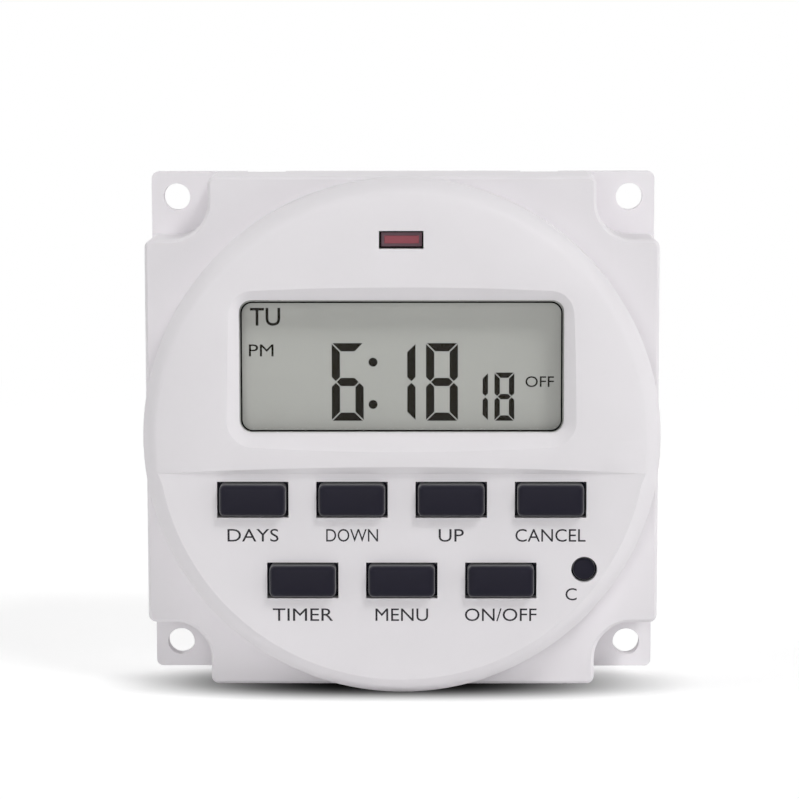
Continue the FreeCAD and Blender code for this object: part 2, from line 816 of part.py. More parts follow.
def clock_crystal():
    centre = BOARD_BACK - CRYSTAL_R - LEAD_GAP
    can = Part.makeCylinder(
        CRYSTAL_R,
        CRYSTAL_LONG,
        point(CRYSTAL_X - CRYSTAL_LONG / 2, CRYSTAL_Z, centre),
        RIGHT,
    )
    end = CRYSTAL_X - CRYSTAL_LONG / 2 - CRYSTAL_LEAD
    leads = []
    for side in (-1, 1):
        z = CRYSTAL_Z + side * CRYSTAL_R / 2
        half = LEAD_SIDE / 2
        leads.append(block(
            CRYSTAL_LEAD + CRYSTAL_R,
            LEAD_SIDE,
            centre - half,
            centre + half,
            end + (CRYSTAL_LEAD + CRYSTAL_R) / 2,
            z,
        ))
        leads.append(block(LEAD_SIDE, LEAD_SIDE, centre - half, BOARD_BACK, end + half, z))
    return fused([can] + leads)


def backup_battery():
    front = BOARD_BACK - TAB_T
    return rod(BATTERY_R, front - BATTERY_T, front, BATTERY_X, BATTERY_Z)


def battery_tabs():
    """Two welded strips: one under the cell, one over it and down to the board."""
    long_ = 2 * BATTERY_R + TAB_REACH
    under = block(
        long_,
        TAB_W,
        BOARD_BACK - TAB_T,
        BOARD_BACK,
        BATTERY_X - TAB_REACH / 2,
        BATTERY_Z,
    )
    low = BOARD_BACK - TAB_T - BATTERY_T - TAB_T
    over = block(
        BATTERY_R + TAB_REACH,
        TAB_W,
        low,
        low + TAB_T,
        BATTERY_X + (BATTERY_R + TAB_REACH) / 2,
        BATTERY_Z,
    )
    end = BATTERY_X + BATTERY_R + TAB_REACH - TAB_T / 2
    leg = block(TAB_T, TAB_W, low, BOARD_BACK, end, BATTERY_Z)
    return Part.makeCompound([under, fused([over, leg])])


def control_board_chips():
    chips = []
    for row in (0, 1):
        for i in range(SMALL_CHIP_COUNT):
            chips.append(block(
                SMALL_CHIP_W,
                SMALL_CHIP_H,
                BOARD_BACK - SMALL_CHIP_T,
                BOARD_BACK,
                SMALL_CHIP_X + i * SMALL_CHIP_PITCH,
                SMALL_CHIP_Z - row * SMALL_CHIP_W,
            ))
    return Part.makeCompound(chips)


def link_header():
    base = block(
        LINK_COUNT * LINK_PITCH,
        LINK_BASE,
        BOARD_BACK - LINK_BASE,
        BOARD_BACK,
        0,
        LINK_Z,
    )
    side = LINK_SIDE + 2 * PIN_GAP
    holes = [block(side, side, BOARD_BACK - LINK_BASE, BOARD_BACK, x, LINK_Z) for x in LINK_X]
    return base.cut(holes)


def link_pins():
    pins = [
        block(LINK_SIDE, LINK_SIDE, POWER_BACK - PIN_THROUGH, BOARD_BACK, x, LINK_Z)
        for x in LINK_X
    ]
    return Part.makeCompound(pins)


def housing_bay():
    """Terminal bay: the sunk box that is added inside, and the cells that are cut from behind."""
    half = BLADE_COUNT / 2 * BLADE_PITCH - BAY_RIB_T / 2
    bottom = -REAR_CLEAR / 2
    top = BAY_TOP_Z + BAY_WALL
    tub = block(
        2 * (half + BAY_WALL),
        top - bottom,
        REAR_INNER,
        BAY_FLOOR_INNER,
        0,
        (top + bottom) / 2,
    )
    width = BLADE_PITCH - BAY_RIB_T
    height = BAY_TOP_Z - BAY_LOW_Z
    cells = [block(width, height, -REAR_DEEP, BAY_FLOOR, x, BLADE_Z) for x in BLADE_X]
    rib_cut = block(2 * half, height, -REAR_DEEP, -REAR_DEEP + BAY_RIB_SUNK, 0, BLADE_Z)
    slots = [
        block(
            BLADE_T + 2 * BLADE_GAP,
            BLADE_W + 2 * BLADE_GAP,
            BAY_FLOOR,
            BAY_FLOOR_INNER,
            x,
            BLADE_Z,
        )
        for x in BLADE_X
    ]
    return tub, cells + [rib_cut] + slots


def hook_slots():
    """Stepped slots in the flange's top and bottom edges: a narrow throat and a pocket for the barb."""
    slots = []
    outer = SIDE / 2 + PAST
    inner = SIDE / 2 - HOOK_RECESS - HOOK_T - HOOK_GAP
    pocket = inner - HOOK_BARB
    pocket_front = HOOK_END_GAP + HOOK_BARB_LONG + HOOK_GAP
    for sx in (-1, 1):
        for sz in (-1, 1):
            x = sx * HOOK_X
            slots.append(block(
                HOOK_SLOT_W,
                outer - inner,
                -PAST,
                FLANGE_T + PAST,
                x,
                sz * (outer + inner) / 2,
            ))
            slots.append(block(
                HOOK_SLOT_W,
                outer - pocket,
                -PAST,
                pocket_front,
                x,
                sz * (outer + pocket) / 2,
            ))
    return slots


def locating_ribs():
    """Four straight ribs that centre the cover's walls."""
    middle = SIDE / 2 - WALL - RIM_GAP - RIM_T / 2
    ribs = []
    for side in (-1, 1):
        ribs.append(block(RIM_LONG, RIM_T, FLANGE_T / 2, FLANGE_T + RIM_HIGH, 0, side * middle))
        ribs.append(block(RIM_T, RIM_LONG, FLANGE_T / 2, FLANGE_T + RIM_HIGH, side * middle, 0))
    return ribs


def rear_housing():
    flange = block(SIDE, SIDE, 0, FLANGE_T, corner=EAR_CORNER_R)
    shell = block(REAR_SIDE, REAR_SIDE, -REAR_DEEP, FLANGE_T / 2, corner=REAR_CORNER_R)
    shell = shell.makeChamfer(REAR_EDGE, rim_edges(shell, -REAR_DEEP))
    clear = block(REAR_CLEAR, REAR_CLEAR, REAR_INNER, FLANGE_T, corner=REAR_CORNER_R - REAR_WALL)
    tub, bay_cuts = housing_bay()
    solid = fused([flange, shell] + locating_ribs()).cut(clear)
    rests = [
        block(REST_SIDE, REST_SIDE, REAR_INNER, POWER_BACK, side * REST_AT, REST_AT)
        for side in (-1, 1)
    ]
    solid = fused([solid, tub] + rests)
    cuts = bay_cuts + hook_slots()
    for sx in (-1, 1):
        for sz in (-1, 1):
            cuts.append(rod(HOLE_R, 0, FLANGE_T, sx * HOLE_AT, sz * HOLE_AT))
    cuts.append(block(PLATE_W, PLATE_H, -REAR_DEEP, -REAR_DEEP + PLATE_RECESS, 0, PLATE_Z))
    return solid.cut(cuts)


def blade_terminal(x):
    """Tab with a chamfered tip and a detent hole, a wide plate that the board sits on, and two legs."""
    tip = -REAR_DEEP + BLADE_TIP_SUNK
    half = BLADE_W / 2
    chamfer = BLADE_CHAMFER
    shoulder = half + BLADE_SHOULDER
    low = BAY_FLOOR_INNER
    high = POWER_BACK
    leg = half - BLADE_LEG_W
    end = POWER_AHEAD + PIN_THROUGH
    right = [
        (half - chamfer, tip),
        (half, tip + chamfer),
        (half, low),
        (shoulder, low),
        (shoulder, high),
        (half, high),
        (half, end),
        (leg, end),
        (leg, high),
    ]
    left = [(-z, ahead) for z, ahead in reversed(right)]
    corners = [FreeCAD.Vector(x - BLADE_T / 2, -ahead, BLADE_Z + z) for z, ahead in right + left]
    tab = Part.Face(Part.makePolygon(corners + corners[:1])).extrude(RIGHT * BLADE_T)
    centre = FreeCAD.Vector(x - BLADE_T, -(tip + BLADE_HOLE_FROM_TIP), BLADE_Z)
    return tab.cut(Part.makeCylinder(BLADE_HOLE_R, 2 * BLADE_T, centre, RIGHT))


def blade_terminals():
    return Part.makeCompound([blade_terminal(x) for x in BLADE_X])


def pin_places():
    """Square or flat leads that pass through the power board: X, Z, width, height."""
    places = [(x, LINK_Z, LINK_SIDE, LINK_SIDE) for x in LINK_X]
    leg = BLADE_W / 2 - BLADE_LEG_W / 2
    for x in BLADE_X:
        places += [(x, BLADE_Z + side * leg, BLADE_T, BLADE_LEG_W) for side in (-1, 1)]
    places += [(x, z, PIN_SIDE, PIN_SIDE) for x, z in relay_pins()]
    for x, z in component_leads():
        places.append((x, z, LEAD_SIDE, LEAD_SIDE))
    return places


def power_board():
    board = block(POWER_SIDE, POWER_SIDE, POWER_BACK, POWER_AHEAD)
    holes = [
        block(w + 2 * LEAD_GAP, h + 2 * LEAD_GAP, POWER_BACK, POWER_AHEAD, x, z)
        for x, z, w, h in pin_places()
    ]
    return board.cut(holes)


# Places inside the relay, counted from its centre line
YOKE_LEFT = -RELAY_W / 2 + RELAY_WALL + YOKE_GAP
COIL_X = YOKE_LEFT + YOKE_T + HINGE_GAP + BOBBIN_SIDE / 2
FIXED_RIGHT = RELAY_W / 2 - RELAY_WALL - FIXED_GAP
CONTACT_X = FIXED_RIGHT - FIXED_T - CONTACT_R / 2
BASE_BACK = POWER_BACK - RELAY_BASE_T
YOKE_BACK = BASE_BACK - YOKE_T
BOBBIN_BACK = YOKE_BACK - BOBBIN_TALL
POLE_BACK = BOBBIN_BACK - POLE_T
ARMATURE_FRONT = POLE_BACK - POLE_GAP
ARMATURE_BACK = ARMATURE_FRONT - ARMATURE_T
YOKE_END = ARMATURE_FRONT + HINGE_GAP
MOVING_FACE = ARMATURE_BACK + CONTACT_T
FIXED_FACE = MOVING_FACE + CONTACT_GAP
FIXED_PLATE_BACK = FIXED_FACE + CONTACT_T


def relay_pins():
    """Pins of the yoke, the fixed contact and the two ends of the coil."""
    return [
        (RELAY_X + YOKE_LEFT + YOKE_T / 2, RELAY_Z),
        (RELAY_X + FIXED_RIGHT - FIXED_T, RELAY_Z),
        (RELAY_X + COIL_X, RELAY_Z - RELAY_H / 2 + 2 * RELAY_WALL),
        (RELAY_X + COIL_X, RELAY_Z + RELAY_H / 2 - 2 * RELAY_WALL),
    ]


def relay_pin(x, z, back):
    return block(PIN_SIDE, PIN_SIDE, back, POWER_AHEAD + PIN_THROUGH, x, z)


def relay_base():
    inner_w = RELAY_W - 2 * (RELAY_WALL + RELAY_GAP)
    inner_h = RELAY_H - 2 * (RELAY_WALL + RELAY_GAP)
    flange = block(RELAY_W, RELAY_H, POWER_BACK - RELAY_FLANGE_T, POWER_BACK, RELAY_X, RELAY_Z)
    plinth = block(inner_w, inner_h, BASE_BACK, POWER_BACK, RELAY_X, RELAY_Z)
    side = PIN_SIDE + 2 * PIN_GAP
    holes = [block(side, side, BASE_BACK, POWER_BACK, x, z) for x, z in relay_pins()]
    return fused([flange, plinth]).cut(holes)


def relay_case():
    back = POWER_BACK - RELAY_TALL
    front = POWER_BACK - RELAY_FLANGE_T
    outer = block(RELAY_W, RELAY_H, back, front, RELAY_X, RELAY_Z)
    inner = block(
        RELAY_W - 2 * RELAY_WALL,
        RELAY_H - 2 * RELAY_WALL,
        back + RELAY_WALL,
        front,
        RELAY_X,
        RELAY_Z,
    )
    return outer.cut(inner)


def coil_block(side, back, front):
    return block(side, side, back, front, RELAY_X + COIL_X, RELAY_Z)


def relay_bobbin():
    flanges = [
        coil_block(BOBBIN_SIDE, back, back + BOBBIN_FLANGE_T)
        for back in (BOBBIN_BACK, YOKE_BACK - BOBBIN_FLANGE_T)
    ]
    barrel = coil_block(BOBBIN_BARREL, BOBBIN_BACK, YOKE_BACK)
    bore = coil_block(CORE_SIDE + 2 * CORE_GAP, BOBBIN_BACK, YOKE_BACK)
    return fused(flanges + [barrel]).cut(bore)


def relay_winding():
    back = BOBBIN_BACK + BOBBIN_FLANGE_T + CORE_GAP
    front = YOKE_BACK - BOBBIN_FLANGE_T - CORE_GAP
    bore = coil_block(BOBBIN_BARREL + 2 * CORE_GAP, back, front)
    return coil_block(WINDING_SIDE, back, front).cut(bore)


def relay_core():
    """Square iron core with its wider pole at the armature's end."""
    shank = coil_block(CORE_SIDE, BOBBIN_BACK, YOKE_BACK)
    return fused([shank, coil_block(POLE_SIDE, POLE_BACK, BOBBIN_BACK)])


def relay_yoke():
    """Angle iron: a leg under the coil and an upright leg that the armature tilts on."""
    foot_end = COIL_X + BOBBIN_SIDE / 2 - YOKE_T
    foot = block(
        foot_end - YOKE_LEFT,
        YOKE_W,
        YOKE_BACK,
        BASE_BACK,
        RELAY_X + (foot_end + YOKE_LEFT) / 2,
        RELAY_Z,
    )
    upright = block(
        YOKE_T,
        YOKE_W,
        YOKE_END,
        BASE_BACK,
        RELAY_X + YOKE_LEFT + YOKE_T / 2,
        RELAY_Z,
    )
    x, z = relay_pins()[0]
    return fused([foot, upright, relay_pin(x, z, YOKE_BACK)])


def relay_armature():
    """Flat iron plate with a narrower nose, lying over the pole."""
    left = YOKE_LEFT
    right = COIL_X + POLE_SIDE / 2
    nose = COIL_X + BOBBIN_SIDE / 2
    wide = block(
        right - left,
        ARMATURE_W,
        ARMATURE_BACK,
        ARMATURE_FRONT,
        RELAY_X + (left + right) / 2,
        RELAY_Z,
    )
    narrow = block(
        nose - left,
        SPRING_W,
        ARMATURE_BACK,
        ARMATURE_FRONT,
        RELAY_X + (left + nose) / 2,
        RELAY_Z,
    )
    return fused([wide, narrow])


def relay_contact_spring():
    """Leaf on the armature that carries the moving contact."""
    left = COIL_X - POLE_SIDE / 2
    right = CONTACT_X + CONTACT_R
    leaf = block(
        right - left,
        SPRING_W,
        ARMATURE_BACK - SPRING_T,
        ARMATURE_BACK,
        RELAY_X + (left + right) / 2,
        RELAY_Z,
    )
    button = rod(CONTACT_R, ARMATURE_BACK, MOVING_FACE, RELAY_X + CONTACT_X, RELAY_Z)
    return fused([leaf, button])


def relay_fixed_contact():
    """Bent strip from its pin up to the fixed contact."""
    left = CONTACT_X - CONTACT_R
    shelf = block(
        FIXED_RIGHT - left,
        SPRING_W,
        FIXED_PLATE_BACK,
        FIXED_PLATE_BACK + FIXED_T,
        RELAY_X + (FIXED_RIGHT + left) / 2,
        RELAY_Z,
    )
    leg = block(
        FIXED_T,
        SPRING_W,
        FIXED_PLATE_BACK,
        BASE_BACK,
        RELAY_X + FIXED_RIGHT - FIXED_T / 2,
        RELAY_Z,
    )
    button = rod(CONTACT_R, FIXED_FACE, FIXED_PLATE_BACK, RELAY_X + CONTACT_X, RELAY_Z)
    x, z = relay_pins()[1]
    foot = block(2 * FIXED_T, PIN_SIDE, BASE_BACK - FIXED_T, BASE_BACK, x, z)
    return fused([shelf, leg, button, foot, relay_pin(x, z, BASE_BACK)])


def relay_coil_pins():
    return Part.makeCompound([relay_pin(x, z, BASE_BACK - YOKE_T) for x, z in relay_pins()[2:]])


def upright_leads(x, z, pitch):
    return [(x + side * pitch / 2, z) for side in (-1, 1)]


def diode_x():
    return [DIODE_X + i * DIODE_PITCH for i in range(DIODE_COUNT)]


def diode_leads():
    reach = DIODE_LONG / 2 + DIODE_REACH
    return [(x, DIODE_Z + side * reach) for x in diode_x() for side in (-1, 1)]


def transistor_leads():
    return [(TRANSISTOR_X + i * TRANSISTOR_PITCH, TRANSISTOR_Z) for i in (-1, 0, 1)]


def fuse_leads():
    return upright_leads(FUSE_X, FUSE_Z, FUSE_LONG + 2 * FUSE_REACH)


def component_leads():
    places = upright_leads(FILM_X, FILM_Z, FILM_PITCH)
    places += upright_leads(FILTER_X, FILTER_Z, FILTER_PITCH)
    places += upright_leads(VARISTOR_X, VARISTOR_Z, VARISTOR_PITCH)
    places += diode_leads() + transistor_leads() + fuse_leads()
    return places


def lead(x, z, back):
    return block(LEAD_SIDE, LEAD_SIDE, back, POWER_AHEAD + LEAD_THROUGH, x, z)


def film_capacitor():
    body = block(FILM_W, FILM_H, POWER_BACK - FILM_TALL, POWER_BACK, FILM_X, FILM_Z)
    leads = [lead(x, z, POWER_BACK) for x, z in upright_leads(FILM_X, FILM_Z, FILM_PITCH)]
    return fused([body] + leads)


def filter_capacitor():
    """Can with a cross scored in its end."""
    back = POWER_BACK - FILTER_TALL
    body = rod(FILTER_R, back, POWER_BACK, FILTER_X, FILTER_Z)
    score = [
        block(w, h, back, back + FILTER_VENT, FILTER_X, FILTER_Z)
        for w, h in ((FILTER_R, FILTER_VENT), (FILTER_VENT, FILTER_R))
    ]
    leads = [lead(x, z, POWER_BACK) for x, z in upright_leads(FILTER_X, FILTER_Z, FILTER_PITCH)]
    return fused([body.cut(score)] + leads)


def lying_part(radius, long_, centre, axis, reach, size):
    """Round part that lies on the board, with a lead bent down at each end."""
    depth = POWER_BACK - radius - LEAD_GAP
    start = point(centre[0], centre[1], depth) - axis * (long_ / 2)
    body = Part.makeCylinder(radius, long_, start, axis)
    pieces = [body]
    for side in (-1, 1):
        along = side * (long_ / 2 + reach)
        x = centre[0] + axis.x * along
        z = centre[1] + axis.z * along
        run = reach + size / 2
        middle = side * (long_ / 2 + run / 2)
        pieces.append(block(
            run if axis.x else size,
            run if axis.z else size,
            depth - size / 2,
            depth + size / 2,
            centre[0] + axis.x * middle,
            centre[1] + axis.z * middle,
        ))
        pieces.append(block(size, size, depth - size / 2, POWER_AHEAD + LEAD_THROUGH, x, z))
    return fused(pieces)


def rectifier_diodes():
    diodes = [
        lying_part(DIODE_R, DIODE_LONG, (x, DIODE_Z), UP, DIODE_REACH, LEAD_SIDE)
        for x in diode_x()
    ]
    return Part.makeCompound(diodes)


def fuse_resistor():
    return lying_part(FUSE_R, FUSE_LONG, (FUSE_X, FUSE_Z), RIGHT, FUSE_REACH, LEAD_SIDE)


def driver_transistor():
    """Half-round moulded body standing on three legs."""
    back = POWER_BACK - LEAD_STAND - TRANSISTOR_TALL
    body = rod(TRANSISTOR_R, back, back + TRANSISTOR_TALL, TRANSISTOR_X, TRANSISTOR_Z)
    flat = block(
        2 * TRANSISTOR_R,
        TRANSISTOR_R,
        back,
        back + TRANSISTOR_TALL,
        TRANSISTOR_X,
        TRANSISTOR_Z - TRANSISTOR_R,
    )
    legs = [lead(x, z, POWER_BACK - LEAD_STAND) for x, z in transistor_leads()]
    return fused([body.cut(flat)] + legs)


def varistor():
    """Dipped disc standing on two legs."""
    depth = POWER_BACK - LEAD_STAND - VARISTOR_R
    start = point(VARISTOR_X, VARISTOR_Z - VARISTOR_T / 2, depth)
    disc = Part.makeCylinder(VARISTOR_R, VARISTOR_T, start, UP)
    legs = [lead(x, z, depth) for x, z in upright_leads(VARISTOR_X, VARISTOR_Z, VARISTOR_PITCH)]
    return fused([disc] + legs)


def nodes():
    """Every piece by name."""
    made = {
        "front_cover": front_cover(),
        "rear_housing": rear_housing(),
        "display_window": display_window(),
        "display_front_polariser": display_sheet(
            FRONT_GLASS_H, FRONT_GLASS_AHEAD, DISPLAY_FRONT, POLARISER_INSET
        ),
        "display_front_glass": display_sheet(FRONT_GLASS_H, REAR_GLASS_AHEAD, FRONT_GLASS_AHEAD, 0),
        "display_rear_glass": display_sheet(REAR_GLASS_H, REAR_GLASS_BACK, REAR_GLASS_AHEAD, 0),
        "display_rear_polariser": display_sheet(
            REAR_GLASS_H, DISPLAY_BACK, REAR_GLASS_BACK, POLARISER_INSET
        ),
        "display_frame": display_frame(),
        "zebra_strips": zebra_strips(),
        "indicator_led": indicator_led(),
        "indicator_led_leads": indicator_led_leads(),
        "keypad_sheet": keypad_sheet(),
        "key_webs": key_webs(),
        "control_board": control_board(),
        "control_board_screws": control_board_screws(),
        "controller_chip": controller_chip(),
        "clock_crystal": clock_crystal(),
        "backup_battery": backup_battery(),
        "battery_tabs": battery_tabs(),
        "control_board_chips": control_board_chips(),
        "link_header": link_header(),
        "link_pins": link_pins(),
        "blade_terminals": blade_terminals(),
        "power_board": power_board(),
        "relay_base": relay_base(),
        "relay_case": relay_case(),
        "relay_bobbin": relay_bobbin(),
        "relay_winding": relay_winding(),
        "relay_core": relay_core(),
        "relay_yoke": relay_yoke(),
        "relay_armature": relay_armature(),
        "relay_contact_spring": relay_contact_spring(),
        "relay_fixed_contact": relay_fixed_contact(),
        "relay_coil_pins": relay_coil_pins(),
        "film_capacitor": film_capacitor(),
        "filter_capacitor": filter_capacitor(),
        "rectifier_diodes": rectifier_diodes(),
        "driver_transistor": driver_transistor(),
        "varistor": varistor(),
        "fuse_resistor": fuse_resistor(),
    }
    for name, x, z, is_round in KEYS:
        made[name + "_key"] = key(x, z, is_round)
        made[name + "_key_contact"] = key_contact(x, z, is_round)
    return made


os.makedirs("parts", exist_ok=True)
for node, shape in nodes().items():
    shape.exportStep(os.path.join("parts", node + ".step"))
    print(node, len(shape.Solids), round(shape.Volume, 2), shape.isValid())
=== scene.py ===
import json
import math

import bmesh
import bpy
from mathutils import Euler, Matrix, Vector


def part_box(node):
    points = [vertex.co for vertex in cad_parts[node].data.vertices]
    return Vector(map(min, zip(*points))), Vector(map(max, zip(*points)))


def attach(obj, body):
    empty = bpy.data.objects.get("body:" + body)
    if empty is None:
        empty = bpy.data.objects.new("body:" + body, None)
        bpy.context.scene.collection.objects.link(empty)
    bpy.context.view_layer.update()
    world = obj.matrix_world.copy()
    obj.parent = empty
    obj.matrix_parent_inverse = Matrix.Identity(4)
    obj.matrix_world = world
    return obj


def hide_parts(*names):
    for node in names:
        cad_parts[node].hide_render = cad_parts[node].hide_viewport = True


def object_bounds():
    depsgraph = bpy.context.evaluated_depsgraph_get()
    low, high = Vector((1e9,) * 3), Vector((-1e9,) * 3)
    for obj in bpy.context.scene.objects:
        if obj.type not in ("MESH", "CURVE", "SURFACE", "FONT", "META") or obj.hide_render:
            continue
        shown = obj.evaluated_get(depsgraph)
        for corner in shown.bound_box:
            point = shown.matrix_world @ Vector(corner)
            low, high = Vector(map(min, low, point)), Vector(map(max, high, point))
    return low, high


# Panel-mount digital timer switch, in metres: X to the right, Y to the back, Z up.
# The panel face of the mounting flange is at Y = 0, and the front looks along -Y.
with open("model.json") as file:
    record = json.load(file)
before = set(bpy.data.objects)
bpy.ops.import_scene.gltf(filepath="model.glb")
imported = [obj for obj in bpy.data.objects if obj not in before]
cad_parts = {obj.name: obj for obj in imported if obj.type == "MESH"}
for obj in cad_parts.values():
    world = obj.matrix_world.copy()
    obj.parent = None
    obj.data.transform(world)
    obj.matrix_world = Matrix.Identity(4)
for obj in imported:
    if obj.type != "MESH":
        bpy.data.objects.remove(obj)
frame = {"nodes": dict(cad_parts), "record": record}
cad_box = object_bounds()
nodes = frame["nodes"]
MM = 0.001
GROUND = cad_box[0].z

# Camera: place in metres, angles in degrees, lens and sensor in millimetres
CAMERA_PLACE = Vector((4.32, -380.0, 49.72)) * MM
CAMERA_YAW = 0.721
CAMERA_PITCH = 7.105
CAMERA_ROLL = -0.098
CAMERA_LENS = 142.62
CAMERA_SENSOR = 36.0
CAMERA_NEAR = 0.01
CAMERA_FAR = 50.0

# Soft boxes: name, azimuth (0 in front, 90 at the right), elevation, watts, side of the box
LAMP_SIZE = 0.5
KEY_LAMP_SIZE = 0.22
LAMP_AWAY = 1.0
LAMPS = (
    ("left_high", -80, 50, 2.95, LAMP_SIZE),
    ("left_low", -75, 8, 0.35, LAMP_SIZE),
    ("front_low", -6, 4, 3.75, LAMP_SIZE),
    ("right_high", 45, 50, 3.7, KEY_LAMP_SIZE),
    ("right_low", 80, 12, 2.6, LAMP_SIZE),
    ("back_left", -145, 20, 2.6, LAMP_SIZE),
    ("back_right", 145, 20, 2.0, LAMP_SIZE),
)
WORLD_LIGHT = 0.05

# Floor: its size, what it gives back to the object, how bright its lit share shows, the share of
# its own white, and the distances from the middle over which it fades to plain white
FLOOR_REACH = 3.0
FLOOR_CELLS = 8
FLOOR_BOUNCE = 0.95
FLOOR_SEEN = 1.42
FLOOR_OWN = 0.65
FLOOR_FADE = (0.12, 0.3)

# Soft pool of painted shadow on the floor under the front: centre, reach in X and Y, squareness,
# level in the middle and how steeply it deepens
POOL_X = -0.66 * MM
POOL_Y = -11.75 * MM
POOL_REACH = (37.6 * MM, 11.7 * MM)
POOL_SQUARE = 2.45
POOL_LEVEL = 0.03
POOL_DEEP = 2.8

# Rays that see the white round the object, and rays that pass the window unbent
SEEN_RAYS = ("Is Camera Ray", "Is Glossy Ray", "Is Transmission Ray")
LIGHTING_RAYS = ("Is Shadow Ray", "Is Diffuse Ray")

# Texture of the finishes
DRIFT_SCALE = 90.0
DRIFT_DETAIL = 3.0
GRAIN_DETAIL = 2.0
GRAIN_DEPTH = 0.1
ROW_DEPTH = 0.3
ROW_WAVER = 0.3
WAVE_TURN = math.pi / 10
SHADE_STOPS = (0.3, 0.7)
ROUGH_SWING = 0.06
ROUGH_LEAST = 0.02
SHEEN_ROUGH = 0.5
ALONG_X = (0.05, 1.0, 1.0)
ALONG_Y = (1.0, 0.05, 1.0)
TRACK_PITCH = 2.54 * MM
TRACK_LAYOUT = {
    "offset": 0.35,
    "offset_frequency": 3,
    "squash": 1.7,
    "squash_frequency": 4,
}
TRACK_SHAPE = {
    "Mortar Size": 0.07,
    "Mortar Smooth": 0.3,
    "Brick Width": 6.5,
    "Row Height": 0.33,
}
WINDOW_TINT = 0.97
WINDOW_IOR = 1.2
WINDOW_GRAIN = 400.0
WINDOW_ROUGH = (0.02, 0.05)

# Edges of the solids that are shown as they are: angles in degrees, widths in millimetres
EDGE_STEPS = 3
EDGE_ANGLE = 28
FLAT_ANGLE = 0.3
WELD_GAP = 1e-6
EDGE_WIDTHS = {
    "front_cover": 0.12,
    "rear_housing": 0.12,
    "blade_terminals": 0.08,
    "display_window": 0.06,
    "relay_case": 0.3,
    "film_capacitor": 0.3,
    "driver_transistor": 0.15,
    "varistor": 0.5,
    "filter_capacitor": 0.3,
    "backup_battery": 0.2,
    "control_board_screws": 0.2,
    "clock_crystal": 0.15,
}

# Key caps
KEYS = ("day", "hour", "minute", "back", "time", "set", "mode", "reset")
KEY_W = 7.66 * MM
KEY_H = 3.68 * MM
KEY_CORNER = 0.6 * MM
KEY_CORNER_LEAST = 0.05 * MM
KEY_ROUND = 0.55 * MM
KEY_CROWN = 0.05 * MM
KEY_CROWN_STEPS = (0.25, 0.55, 0.85)
KEY_SKIRT = 0.2 * MM
KEY_SKIRT_FRONT = -17.7 * MM
KEY_FLANGE_FRONT = -16.9 * MM
KEY_FLANGE_BACK = -15.9 * MM
KEY_SPLIT_ANGLE = 50
RESET_D = 2.6 * MM
RESET_ROUND = 0.25 * MM

# Indicator lamp
LENS_EDGE = 0.34 * MM
LENS_DROP = 0.16 * MM
LENS_SIDE = 0.13 * MM
LENS_STEP = 0.3 * MM
LENS_SHIFT = (0.05 * MM, 0.03 * MM)
LENS_PROUD = 0.04 * MM
LENS_CORNER = 0.2 * MM
LENS_CORNER_LEAST = 0.04 * MM
LENS_CORNER_STEPS = 3

# Dark ring round the window: painted shade of the gap between the window and the cover
WINDOW_Z = 8.45 * MM
WINDOW_W = 37.02 * MM
WINDOW_H = 15.05 * MM
WINDOW_CORNER = 1.37 * MM
WINDOW_CORNER_STEPS = 10
OUTLINE_W = 0.18 * MM

# Print: thickness of the ink, and the letters' own half thickness and curve steps before scaling
PRINT_T = 0.012 * MM
LETTER_HALF = 0.5
LETTER_STEPS = 4

# Display: a size of figure is width, height and stroke. Each figure shown is its size, the gap
# between its segments, its right edge and its lit segments
LCD_BASE = 1.95 * MM
SEGMENT_GAP = 0.1 * MM
SMALL_GAP = 0.08 * MM
BIG_FIGURE = (3.68 * MM, 9.03 * MM, 0.95 * MM)
SMALL_FIGURE = (2.29 * MM, 5.61 * MM, 0.62 * MM)
FIGURES = (
    (BIG_FIGURE, SEGMENT_GAP, -4.40 * MM, "acdefg"),
    (BIG_FIGURE, SEGMENT_GAP, 1.60 * MM, "bc"),
    (BIG_FIGURE, SEGMENT_GAP, 6.50 * MM, "abcdefg"),
    (SMALL_FIGURE, SMALL_GAP, 9.98 * MM, "bc"),
    (SMALL_FIGURE, SMALL_GAP, 13.02 * MM, "abcdefg"),
)
COLON_X = -3.31 * MM
COLON_Z = (8.77 * MM, 3.85 * MM)
COLON_D = 1.04 * MM

# Words: name, text, centre in X and Z, height of the capitals and length in millimetres, and the
# weight added to the strokes as a share of the text size
DISPLAY_WORDS = (
    ("display_day", "TU", -15.75, 14.05, 2.01, 3.5, 0.008),
    ("display_half_day", "PM", -16.22, 10.14, 1.39, 2.85, 0.0),
    ("display_state", "OFF", 15.95, 6.50, 1.23, 3.3, 0.001),
)

# Legends under the keys: key, text, length in millimetres, height of the line
FIELD_Y = -19.0 * MM
LEGEND_CAP = 1.46 * MM
ROW_1_LEGEND_Z = -11.1 * MM
ROW_2_LEGEND_Z = -20.42 * MM
LEGENDS = (
    ("day", "DAYS", 5.9, ROW_1_LEGEND_Z),
    ("hour", "DOWN", 6.0, ROW_1_LEGEND_Z),
    ("minute", "UP", 2.9, ROW_1_LEGEND_Z),
    ("back", "CANCEL", 8.1, ROW_1_LEGEND_Z),
    ("time", "TIMER", 7.0, ROW_2_LEGEND_Z),
    ("set", "MENU", 6.1, ROW_2_LEGEND_Z),
    ("mode", "ON/OFF", 8.3, ROW_2_LEGEND_Z),
)
RESET_LETTER = "C"
RESET_LETTER_AT = (19.6 * MM, -18.0 * MM)
RESET_LETTER_CAP = 1.4 * MM
RESET_LETTER_W = 1.3 * MM

# Numbers by the push-on terminals: the first lies furthest towards +X, each with its length in
# millimetres
PLATE_SUNK = 0.3 * MM
TERMINAL_PITCH = 10.6 * MM
FIRST_TERMINAL = 1.5
NUMBER_CAP = 2.2 * MM
NUMBER_Z = -1.9 * MM
NUMBERS = (("1", 0.3), ("2", 1.3), ("3", 1.25), ("4", 1.55))


